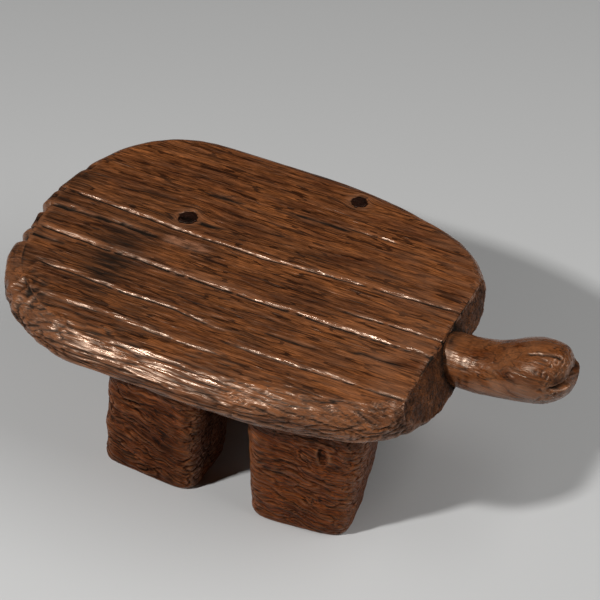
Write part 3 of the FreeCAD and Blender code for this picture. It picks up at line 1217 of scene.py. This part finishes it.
    def shape(self) -> bmesh.types.BMesh:
        """Builds the slab: a grid for the top, extruded round the rim and in over the underside.

        Returns:
            The mesh in millimetres.
        """
        shape = bmesh.new()
        parents = self.lay_top(shape)
        parent = shape.verts.layers.int["parent"]
        top = list(shape.verts)
        edges = [edge for edge in shape.edges if edge.is_boundary]
        moves = []
        for step in self.rim_steps():
            edges, ring = grow_ring(shape, edges)
            for vertex in ring:
                point, normal = parents[vertex[parent]]
                vertex.co, facing = self.rim_place(step, point, normal)
                moves.append((vertex, facing, Vector((normal.x, normal.y, 0.0)), self.top - vertex.co.z))
        middle = Vector((sum(vertex.co.x for vertex in ring) / len(ring), 0.0, self.bottom))
        starts = {vertex[parent]: vertex.co.copy() for vertex in ring}
        for step in range(1, self.under_rings + 1):
            edges, ring = grow_ring(shape, edges)
            for vertex in ring:
                vertex.co = starts[vertex[parent]].lerp(middle, 0.94 * step / self.under_rings)
                moves.append((vertex, -UP, ORIGIN, self.thickness))
        bmesh.ops.holes_fill(shape, edges=edges, sides=0)
        for vertex in top:
            vertex.co.z += self.top_relief(vertex.co)
        for vertex, facing, normal, drop in moves:
            cuts = sum(crack.cut(vertex.co.x, vertex.co.y) for crack in RAIL_CRACKS)
            vertex.co += facing * (self.rim_relief(vertex.co, normal, drop) - cuts * CRACK_FOOT.at(drop))
        return shape


@dataclass(frozen=True)
class Gouge(Spot):
    """A dent in the near face of a leg, with its middle at an x and a height.

    Attributes:
        depth: how deep it goes.
    """

    depth: float

    def cut(self, place: Vector, middle: float) -> float:
        """How deep the dent is at a point of a leg whose middle lies at a y.

        Args:
            place: a point in millimetres.
            middle: the y.

        Returns:
            A depth in millimetres.
        """
        if place.y > middle:
            return 0.0
        return self.depth * ease(1.0, 0.3, self.reach(place.x, place.z))


# Torn lines, fibres and ridges of the legs
LEG_TEARS = Layer(0.8, 60.0, 12.0, 2.0, line=0.1)
LEG_FIBRES = Layer(0.34, 26.0, 2.8, 5.0)
LEG_RIDGES = Layer(0.35, 50.0, 7.0, 7.0)
# Where fibres stand out, by the noise of their patches
FIBRE_PATCH = Fade(-0.25, 0.3)
# Heights over which the hewn surface starts above the sole
LEG_FOOT = Fade(-4.0, 8.0)


@dataclass
class Leg(RingPiece):
    """A block leg, hewn with the grain lying along the seat.

    Attributes:
        gouges: dents in its near face.
        length: the foot's length along the seat.
        depth: the foot's depth across it.
        flare: how much wider each side is at the top.
        rear_flare: the same for the side towards the tail.
        front_flare: the same for the side towards the head.
        twist: how far the leg is turned about its height, in degrees.
        shift: how far the foot is moved towards the head; below zero, towards the tail.
        roundness: exponent of the section; 2 is an ellipse, more is squarer.
        stain: how dark old dirt has made it, from 0 to 1.
        foot_radius: rounding of the foot.
        root: how far the leg goes into the seat.
        crowding: exponent that draws the rings towards the foot.
        slant: how steeply the grain slants.
    """

    segments: int = 250
    rings: int = 108
    gouges: tuple[Gouge, ...] = ()
    length: float = 100.0
    depth: float = 70.0
    flare: float = 8.0
    rear_flare: float = 8.0
    front_flare: float = 8.0
    twist: float = 0.0
    shift: float = 0.0
    roundness: float = 5.0
    stain: float = 0.0
    foot_radius: float = 10.0
    root: float = 6.0
    crowding: float = 1.15
    slant: float = 0.22

    def __post_init__(self) -> None:
        """Reads the leg's place from its CAD node."""
        low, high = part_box(self.node)
        seat_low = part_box("seat")[0]
        self.middle = Vector((low.x / MM + self.length / 2 + self.shift, (low.y + high.y) / 2 / MM, 0.0))
        self.lean = high.x / MM - self.flare - self.length / 2 - self.middle.x
        self.height = seat_low.z / MM

    def radius(self, angle: float, height: float) -> float:
        """The section's radius in one direction at a height.

        Args:
            angle: the direction, in radians.
            height: the height above the floor.

        Returns:
            The radius in millimetres.
        """
        share = height / self.height
        grow = self.flare * share
        stretch = share * (self.front_flare if math.cos(angle) > 0 else self.rear_flare)
        inset = 0.0
        if height < self.foot_radius:
            lift = 1.0 - height / self.foot_radius
            inset = 0.5 * self.foot_radius * (1.0 - math.sqrt(max(0.0, 1.0 - lift * lift)))
        across = abs(math.cos(angle)) / (self.length / 2 + stretch - inset)
        deep = abs(math.sin(angle)) / (self.depth / 2 + grow - inset)
        return (across ** self.roundness + deep ** self.roundness) ** (-1 / self.roundness)

    def relief(self, place: Vector) -> float:
        """How far the hewn surface stands out at a point.

        Args:
            place: a point in millimetres.

        Returns:
            A distance in millimetres, below zero where it lies deeper.
        """
        facets = 1.6 * lumps(place, 26.0, self.middle) + 0.8 * lumps(place, 11.0, -self.middle)
        bent = self.grain(place) / MM
        patch = 0.25 + 0.75 * FIBRE_PATCH.at(lumps(place, 21.0, self.middle))
        fibres = patch * LEG_FIBRES.at(bent) + LEG_RIDGES.at(bent)
        dents = sum(gouge.cut(place, self.middle.y) for gouge in self.gouges)
        return facets - LEG_TEARS.tear(bent) + fibres - 0.7 - dents

    def dirt(self, place: Vector) -> float:
        """How much old dirt lies on the leg, blotched, with painted shade darkening its top under the seat.
        """
        blotch = max(0.0, 1.0 + 1.4 * lumps(place, 24.0, -self.middle))
        # painted shade: the top 26 mm under the seat is darkened
        return self.stain * blotch + 0.3 * ease(self.height - 26.0, self.height, place.z)

    def grain(self, place: Vector) -> Vector:
        """The leg's grain, which slants and wavers more than the seat's.

        Args:
            place: a point in millimetres.

        Returns:
            The grain's coordinates in metres.
        """
        waver = 7.0 * noise.noise_vector(place / 40.0 + self.middle)
        waver += 2.5 * noise.noise_vector(place / 13.0)
        return (place + waver + self.slant * place.x * UP) * MM

    def ring_point(self, step: int, angle: float) -> Vector:
        """A point on one ring, from the sole up to the root in the seat.

        Args:
            step: the ring's number.
            angle: the direction round it, in radians.

        Returns:
            The point in millimetres.
        """
        height = (self.height + self.root) * (step / self.rings) ** self.crowding
        lean = self.lean * min(1.0, height / self.height)
        turned = angle + math.radians(self.twist)
        outward = Vector((math.cos(turned), math.sin(turned), 0.0))
        place = self.middle + Vector((lean, 0.0, height)) + self.radius(angle, height) * outward
        return place + outward * self.relief(place) * LEG_FOOT.at(height)


# Surface of the head, and the tool marks across the neck
HEAD_LAYERS = (Layer(0.8, 34.0, 16.0, 2.0), Layer(0.16, 20.0, 4.5, 9.0))
TOOL_MARKS = Layer(0.6, 4.5, 16.0, 6.0)
# Parts of the neck and head by x: the tool marks, the pits, the crack in the brow, the root's painted shade
# and the tip
TOOLED = Fade(205.0, 178.0)
PITTED = Fade(250.0, 268.0)
SPLIT_ENDS = (Fade(238.0, 248.0), Fade(280.0, 268.0))
NECK_ROOT_SHADE = Fade(174.0, 164.0)
HEAD_TIP = Fade(262.0, 274.0)
# The brow and the dirty part of the tip by z
BROW = Fade(200.0, 206.0)
TIP_HEIGHTS = (Fade(194.0, 201.0), Fade(224.0, 212.0))
# The brow's crack: the x and y of a point on its line, the line's slope and the crack's walls
SPLIT_MIDDLE = (246.0, -11.0)
SPLIT_SLOPE = 0.2
SPLIT_WALL = Fade(1.6, 0.2)


@dataclass
class Head(RingPiece):
    """The round neck that swells to a blunt head with a slit for a mouth.

    Attributes:
        widths: (x, diameter) along the neck and head, from its root.
        heights: (x, height of the axis) along it.
        mouth_height: height of the mouth's slit.
        mouth_depth: how far the slit goes back from the tip.
        mouth_pull: how far the slit is pressed in, as a share.
        lip_setback: how much shorter the upper lip is than the lower jaw.
        breadth: how much broader than high the head is.
        crowding: exponent that draws the rings towards the tip.
    """

    segments: int = 200
    rings: int = 120
    widths: Points = (
        (150.0, 46.0), (160.0, 49.5), (170.0, 51.0), (186.0, 51.5), (200.0, 53.5), (212.0, 56.0),
        (230.0, 60.4), (240.0, 62.2), (250.0, 62.6), (258.0, 61.5), (266.0, 58.0), (274.0, 51.0),
        (280.0, 42.0), (284.0, 32.0), (286.0, 20.0),
    )
    heights: Points = (
        (150.0, 177.5), (170.0, 176.7), (186.0, 177.4), (200.0, 179.8), (212.0, 183.6), (230.0, 190.6),
        (247.0, 195.9), (262.0, 198.6), (274.0, 200.5), (286.0, 202.0),
    )
    mouth_height: float = 204.0
    mouth_depth: float = 20.0
    mouth_pull: float = 0.34
    lip_setback: float = 5.0
    breadth: float = 1.05
    crowding: float = 1.35

    def relief(self, place: Vector) -> float:
        """How far the rubbed surface stands out at a point.

        Args:
            place: a point in millimetres.

        Returns:
            A distance in millimetres, below zero where it lies deeper.
        """
        surface = sum(layer.at(place) for layer in HEAD_LAYERS) - 0.5
        tool = TOOL_MARKS.at(place) * TOOLED.at(place.x)
        pits = max(0.0, lumps(place, 4.0) - 0.05) * PITTED.at(place.x)
        return surface + tool - 2.4 * pits - 1.6 * self.split(place)

    @staticmethod
    def split(place: Vector) -> float:
        """Whether a point lies in the short crack on the near side of the brow, from 0 to 1.

        Args:
            place: a point in millimetres.

        Returns:
            A share from 0 to 1.
        """
        along, across = SPLIT_MIDDLE
        stray = 1.2 * noise.noise(Vector((place.x / 7.0, 0.0, 0.0)))
        line = across + SPLIT_SLOPE * (place.x - along) + stray
        ends = math.prod(end.at(place.x) for end in SPLIT_ENDS)
        return ends * SPLIT_WALL.at(abs(place.y - line)) * BROW.at(place.z)

    def dirt(self, place: Vector) -> float:
        """How much dirt lies in the crack and on the tip, with painted shade at the root of the neck.

        Args:
            place: a point in millimetres.

        Returns:
            An amount; 1 hides the wood.
        """
        tip = HEAD_TIP.at(place.x) * math.prod(height.at(place.z) for height in TIP_HEIGHTS)
        blotch = clamp(0.6 + 1.3 * lumps(place, 6.0))
        # painted shade: the root of the neck is darkened where it meets the seat
        return self.split(place) + 0.7 * NECK_ROOT_SHADE.at(place.x) + 0.95 * tip * blotch

    def wear(self, place: Vector) -> float:
        """How much hands have rubbed the neck and head; the lighter colour is partly a painted highlight.
        """
        return 0.4 + 1.1 * lumps(place, 13.0)

    def ring_point(self, step: int, angle: float) -> Vector:
        """A point on one ring, from the root along X to the tip.

        Args:
            step: the ring's number.
            angle: the direction round it, in radians.

        Returns:
            The point in millimetres.
        """
        start, end = self.widths[0][0], self.widths[-1][0]
        along = end - (end - start) * (1 - step / self.rings) ** self.crowding
        axis = smooth_points(self.heights, along)
        outward = Vector((0.0, math.cos(angle), math.sin(angle)))
        place = Vector((along, 0.0, axis)) + smooth_points(self.widths, along) / 2 * outward
        place.y *= self.breadth
        return self.with_mouth(place + outward * self.relief(place), axis)

    def with_mouth(self, place: Vector, axis: float) -> Vector:
        """Presses the mouth's slit into the tip and draws the upper lip back.

        Args:
            place: a point of the head.
            axis: height of the head's axis there.

        Returns:
            The moved point.
        """
        tip = self.widths[-1][0]
        over = place.z - self.mouth_height
        back = tip - place.x
        moved = place.copy()
        if over > 0:
            moved.x -= self.lip_setback * ease(self.mouth_depth, 0.0, back) * ease(0.0, 2.0, over)
        slit = ease(2.6, 0.5, abs(over - 0.6)) * ease(self.mouth_depth, 4.0, back)
        toward = Vector((tip - self.mouth_depth * 1.2, 0.0, axis))
        return moved.lerp(toward, self.mouth_pull * slit)


@dataclass
class KnotFace(RingPiece):
    """The dark end of a branch that shows as a knot in the seat's top.

    Attributes:
        knot: the knot's place and edge.
        sunk: how far its face lies below the seat's top.
        rim: share of the radius and height of each ring from the underside to the face's edge.
        face_step: how far each ring of the face lies inside the one before, as a share.
        carved: height above which a ring has the face's surface.
    """

    knot: Knot = KNOTS[0]
    sunk: float = 0.5
    rim: Points = ((0.9, -6.0), (0.95, -2.0), (0.97, -0.9), (0.95, -0.35))
    face_step: float = 0.05
    carved: float = -1.5

    def ring_point(self, step: int, angle: float) -> Vector:
        """A point on one ring, from the underside over the face to its middle.

        Args:
            step: the ring's number.
            angle: the direction round it, in radians.

        Returns:
            The point in millimetres.
        """
        share, height = self.face_step * (self.rings + 1 - step), 0.0
        if step < len(self.rim):
            share, height = self.rim[step]
        outward = Vector((math.cos(angle), math.sin(angle), 0.0))
        place = self.knot.centre + outward * self.knot.edge(angle) * share
        surface = 0.0
        if height > self.carved:
            rings = 0.22 * math.sin(share * 21.0 + 2.0 * lumps(place, 5.0))
            checks = 0.7 * ease(0.35, 0.75, noise.noise(Vector((angle * 2.2, share, self.knot.radius))))
            surface = rings - checks + 0.5 * lumps(place, 3.2)
        return place + UP * (height - self.sunk + surface)


def add_node(tree: bpy.types.NodeTree, kind: str, sockets: dict, **settings: object) -> bpy.types.Node:
    """Adds a node with its settings, constants and links.

    Args:
        tree: the material's tree.
        kind: the node's type.
        sockets: input name or number, with a constant or the output that is linked to it.
        settings: the node's own properties.

    Returns:
        The new node.
    """
    node = tree.nodes.new(kind)
    for name, value in settings.items():
        setattr(node, name, value)
    for name, value in sockets.items():
        if isinstance(value, bpy.types.NodeSocket):
            tree.links.new(value, node.inputs[name])
        else:
            node.inputs[name].default_value = value
    return node


@dataclass(frozen=True)
class Grain:
    """One scale of the wood's figure, in millimetres.

    Attributes:
        length: size along the grain.
        width: size across it.
        detail: octaves of finer noise.
        roughness: strength of the finer noise.
    """

    length: float
    width: float
    detail: float
    roughness: float


# The wood's figure, from broad changes of tone down to single fibres, drawn coarse enough to show
FIGURES = {
    "tone": Grain(60.0, 18.0, 5.0, 0.62),
    "streaks": Grain(45.0, 4.2, 4.0, 0.65),
    "ridges": Grain(24.0, 4.0, 1.5, 0.5),
    "fibres": Grain(12.0, 0.85, 3.0, 0.6),
    "dashes": Grain(14.0, 0.8, 1.0, 0.5),
    "hairs": Grain(90.0, 9.0, 2.0, 0.5),
}
# A hairline split follows the middle of its noise, this far to each side
HAIR_MIDDLE, HAIR_WIDTH = 0.5, 0.018
# How strongly splits darken the wood, how deep they cut it in fibre heights, and how much wear lightens it,
# partly as a painted highlight
HAIR_DARK, HAIR_DEEP, RUB_AND_HIGHLIGHT_PALE = 0.8, 2.0, 0.45
# How much smoother wear and how much rougher dirt makes the surface
WEAR_SMOOTH, DIRT_ROUGH = 0.12, 0.5


@dataclass(frozen=True)
class Hardwood:
    """Dense tropical hardwood, hewn, darkened by smoke and rubbed to a waxy shine.

    Attributes:
        name: the material's name.
        body: colour of most of the wood.
        amber: colour of warmer patches.
        deep: colour of dark dashes and hairline splits.
        dirt: colour in cracks and hollows, also used as painted shade in hollows, on the seat's front face,
            at the neck's root and under the seat.
        rubbed: colour of worn ridges, lighter partly as a painted highlight.
        gloss: roughness of the rubbed surface.
        shine: strength of its reflection; 0.5 is plain wood.
        fibre_height: how far the fibres stand out, in millimetres.
        ridge_height: the same for the ridges between tool marks.
        contrast: how strongly light and dark fibres differ.
        fresh: colour of wood under the dark surface.
        glint: colour of its reflection, warm from the wax.
    """

    name: str
    body: str
    amber: str
    deep: str
    dirt: str
    rubbed: str
    gloss: float
    shine: float
    fibre_height: float
    ridge_height: float
    contrast: float
    fresh: str = "A87458"
    glint: str = "F5D8C0"

    def material(self) -> bpy.types.Material:
        """Builds the node tree.

        Returns:
            The material.
        """
        material = bpy.data.materials.new(self.name)
        material.use_nodes = True
        tree = material.node_tree
        tree.nodes.clear()
        marks = {
            mark: add_node(tree, "ShaderNodeAttribute", {}, attribute_name=mark.value) for mark in Mark
        }
        hollow, worn, bare = (marks[mark].outputs["Fac"] for mark in (Mark.DIRT_AND_SHADE, Mark.WEAR_AND_HIGHLIGHT, Mark.BARE))
        noises = {}
        for name, grain in FIGURES.items():
            mapped = add_node(tree, "ShaderNodeMapping", {
                "Vector": marks[Mark.GRAIN].outputs["Vector"],
                "Scale": [1 / (size * MM) for size in (grain.length, grain.width, grain.width)],
            })
            noises[name] = add_node(tree, "ShaderNodeTexNoise", {
                "Vector": mapped.outputs["Vector"],
                "Scale": 1.0,
                "Detail": grain.detail,
                "Roughness": grain.roughness,
            }).outputs[0]

        # Each effect with its source, the part of the source that it runs over and its own range
        effects = {}
        for name, source, (start, end), (low, high) in (
            ("tone", noises["tone"], (0.36, 0.64), (0.0, 1.0)),
            ("streak", noises["streaks"], (0.36, 0.64), (0.7, 1.22)),
            ("fibre", noises["fibres"], (0.38, 0.62), (0.5, 1.45)),
            ("dash", noises["dashes"], (0.62, 0.68), (0.0, 0.7)),
            ("dull", noises["streaks"], (0.35, 0.65), (self.gloss + 0.2, self.gloss)),
            ("relief", worn, (0.0, 1.0), (1.0, 0.6)),
            ("wax", worn, (0.0, 1.0), (0.35 * self.shine, self.shine)),
        ):
            effects[name] = add_node(tree, "ShaderNodeMapRange", {
                "Value": source, "From Min": start, "From Max": end, "To Min": low, "To Max": high,
            }).outputs[0]
        hair = add_node(tree, "ShaderNodeMath", {
            0: noises["hairs"], 1: HAIR_MIDDLE, 2: HAIR_WIDTH,
        }, operation="COMPARE").outputs[0]
        split = add_node(tree, "ShaderNodeMath", {0: hair, 1: HAIR_DARK}, operation="MULTIPLY").outputs[0]
        # wear lightens the colour, partly as a painted highlight
        rub = add_node(tree, "ShaderNodeMath", {0: worn, 1: RUB_AND_HIGHLIGHT_PALE}, operation="MULTIPLY").outputs[0]
        figure = add_node(tree, "ShaderNodeMath", {
            0: effects["streak"], 1: effects["fibre"],
        }, operation="MULTIPLY").outputs[0]
        strong = add_node(tree, "ShaderNodeMath", {
            0: figure, 1: self.contrast,
        }, operation="POWER").outputs[0]

        # Clean wood in its light and dark figure, with dashes, splits, wear and dirt laid over it; the wear
        # colour is partly a painted highlight and the dirt colour partly painted shade
        toned = add_node(tree, "ShaderNodeMix", {
            0: effects["tone"], 6: linear(self.body), 7: linear(self.amber),
        }, data_type="RGBA").outputs[2]
        flaked = add_node(tree, "ShaderNodeMix", {
            0: bare, 6: toned, 7: linear(self.fresh),
        }, data_type="RGBA").outputs[2]
        colour = add_node(tree, "ShaderNodeVectorMath", {
            0: flaked, "Scale": strong,
        }, operation="SCALE").outputs[0]
        for share, over in (
            (effects["dash"], self.deep), (split, self.deep), (rub, self.rubbed), (hollow, self.dirt),
        ):
            colour = add_node(tree, "ShaderNodeMix", {
                0: share, 6: colour, 7: linear(over),
            }, data_type="RGBA").outputs[2]
        smoothed = add_node(tree, "ShaderNodeMath", {
            0: worn, 1: -WEAR_SMOOTH, 2: effects["dull"],
        }, operation="MULTIPLY_ADD").outputs[0]
        roughness = add_node(tree, "ShaderNodeMath", {
            0: hollow, 1: DIRT_ROUGH, 2: smoothed,
        }, operation="MULTIPLY_ADD", use_clamp=True).outputs[0]
        height = add_node(tree, "ShaderNodeMath", {
            0: noises["ridges"], 1: self.ridge_height / self.fibre_height, 2: noises["fibres"],
        }, operation="MULTIPLY_ADD").outputs[0]
        cut = add_node(tree, "ShaderNodeMath", {
            0: hair, 1: -HAIR_DEEP, 2: height,
        }, operation="MULTIPLY_ADD").outputs[0]
        bump = add_node(tree, "ShaderNodeBump", {
            "Height": cut, "Strength": effects["relief"], "Distance": self.fibre_height * MM,
        })
        shader = add_node(tree, "ShaderNodeBsdfPrincipled", {
            "Base Color": colour,
            "Roughness": roughness,
            "Normal": bump.outputs["Normal"],
            "IOR": 1.5,
            "Specular IOR Level": effects["wax"],
            "Specular Tint": linear(self.glint),
        })
        add_node(tree, "ShaderNodeOutputMaterial", {"Surface": shader.outputs[0]})
        return material


# Hewn wood: red-brown with short dark dashes, darkened cracks and a broken waxy shine
CARVED = Hardwood(
    "carved_hardwood", body="57301A", amber="864F2A", deep="1C0A05", dirt="0A0402", rubbed="8E6044",
    gloss=0.25, shine=0.95, fibre_height=0.3, ridge_height=3.0, contrast=0.95,
)
# The legs' wood, which nobody rubs: darker, duller and more fibrous
HEWN = Hardwood(
    "hewn_hardwood", body="57280F", amber="763C19", deep="150602", dirt="060201", rubbed="A0663C",
    gloss=0.36, shine=0.3, fibre_height=0.3, ridge_height=3.6, contrast=1.4,
)
# The same wood where hands rub it: smoother, with a stronger shine
POLISHED = Hardwood(
    "polished_hardwood", body="542B14", amber="7C4824", deep="1C0A05", dirt="0A0402", rubbed="86583A",
    gloss=0.24, shine=1.0, fibre_height=0.2, ridge_height=1.3, contrast=0.8,
)
# End grain of a knot: nearly black and dull
KNOT_WOOD = Hardwood(
    "knot_wood", body="150A07", amber="1E0E09", deep="060302", dirt="040201", rubbed="2A1610",
    gloss=0.45, shine=0.3, fibre_height=0.4, ridge_height=1.0, contrast=1.0,
)


@dataclass
class Studio:
    """The floor, lights and camera.

    Attributes:
        target: the point the camera looks at, in metres.
        azimuth: the camera's direction in degrees.
        elevation: its height angle in degrees.
        distance: its distance in metres.
        lens: focal length in millimetres.
    """

    target: Vector
    azimuth: float = 26.02
    elevation: float = 42.54
    distance: float = 2.4
    lens: float = 148.84

    def camera(self) -> None:
        """Puts the camera at the photograph's angle."""
        data = bpy.data.cameras.new("photo_camera")
        data.lens = self.lens
        data.sensor_width = 36.0
        camera = bpy.data.objects.new("photo_camera", data)
        turn, lift = math.radians(self.azimuth), math.radians(self.elevation)
        back = Vector((math.sin(turn) * math.cos(lift), -math.cos(turn) * math.cos(lift), math.sin(lift)))
        camera.location = self.target + self.distance * back
        camera.rotation_euler = (-back).to_track_quat("-Z", "Y").to_euler()
        bpy.context.scene.collection.objects.link(camera)
        bpy.context.scene.camera = camera

    def lamp(self, name: str, toward: Vector, distance: float, size: float, power: float) -> None:
        """Hangs an area lamp that faces the stool.

        Args:
            name: the lamp's name.
            toward: direction from the stool to the lamp.
            distance: how far away it hangs, in metres.
            size: its side, in metres.
            power: its power in watts.
        """
        data = bpy.data.lights.new(name, "AREA")
        data.size = size
        data.energy = power
        lamp = bpy.data.objects.new(name, data)
        direction = toward.normalized()
        lamp.location = self.target + distance * direction
        lamp.rotation_euler = direction.to_track_quat("Z", "Y").to_euler()
        bpy.context.scene.collection.objects.link(lamp)

    def floor(self) -> None:
        """Lays a plain pale floor."""
        shape = bmesh.new()
        bmesh.ops.create_grid(shape, x_segments=8, y_segments=8, size=6.0)
        mesh = bpy.data.meshes.new("studio_floor")
        shape.to_mesh(mesh)
        shape.free()
        material = bpy.data.materials.new("matt_studio_paper")
        material.use_nodes = True
        inputs = material.node_tree.nodes["Principled BSDF"].inputs
        inputs["Base Color"].default_value = linear("C9C9C8")
        inputs["Roughness"].default_value = 0.9
        inputs["Specular IOR Level"].default_value = 0.1
        mesh.materials.append(material)
        floor = bpy.data.objects.new("studio_floor", mesh)
        bpy.context.scene.collection.objects.link(floor)

    def world(self, colour: str, strength: float) -> None:
        """Fills the shadows with an even light from all round.

        Args:
            colour: its sRGB hex colour.
            strength: its strength.
        """
        world = bpy.data.worlds.new("studio_fill")
        world.use_nodes = True
        background = world.node_tree.nodes["Background"]
        background.inputs["Color"].default_value = linear(colour)
        background.inputs["Strength"].default_value = strength
        bpy.context.scene.world = world

    def build(self) -> None:
        """Sets up the whole studio."""
        self.floor()
        self.camera()
        self.lamp("key_lamp", Vector((-0.381, -0.61, 0.695)), distance=2.4, size=0.16, power=45.0)
        self.lamp("fill_softbox", Vector((0.62, 0.1, 0.78)), distance=2.0, size=1.6, power=25.0)
        self.world("FFFFFF", 0.006)
        bpy.context.scene.view_settings.view_transform = "Standard"


# What the two legs of a pair share
FRONT_LEGS = {"length": 102.0, "front_flare": 18.0, "rear_flare": 10.0, "shift": -2.5, "stain": 0.06}
REAR_LEGS = {
    "length": 107.0, "depth": 76.0, "rear_flare": -10.0, "shift": -1.0, "roundness": 6.0, "stain": 0.34,
}
NICK = Gouge(86.0, 118.0, 7.0, 16.0, depth=3.0)
DENT = Gouge(-118.0, 106.0, 14.0, 3.5, depth=2.0)
# Keeps the wavering grain of the legs the same in every run
GRAIN_SEED = 7


def main() -> None:
    """Builds the stool piece by piece, then the studio."""
    logging.basicConfig(level=logging.INFO, format="%(name)s: %(message)s")
    noise.seed_set(GRAIN_SEED)
    carved, hewn, polished, dark = (finish.material() for finish in (CARVED, HEWN, POLISHED, KNOT_WOOD))
    Seat("seat", Slot.CARVED).build(carved)
    Leg("front_left_leg", Slot.CARVED, twist=-7.0, **FRONT_LEGS).build(hewn)
    Leg("front_right_leg", Slot.CARVED, gouges=(NICK,), twist=7.0, **FRONT_LEGS).build(hewn)
    Leg("rear_left_leg", Slot.CARVED, twist=3.0, **REAR_LEGS).build(hewn)
    Leg("rear_right_leg", Slot.CARVED, gouges=(DENT,), twist=-3.0, **REAR_LEGS).build(hewn)
    Head("neck_and_head", Slot.POLISHED).build(polished)
    for knot in KNOTS:
        KnotFace(knot.node, Slot.KNOT, knot=knot).build(dark)
    Studio(Vector((0.00033, 0.00587, 0.18))).build()
    log.info("boxes written")


if __name__ == "__main__":
    main()
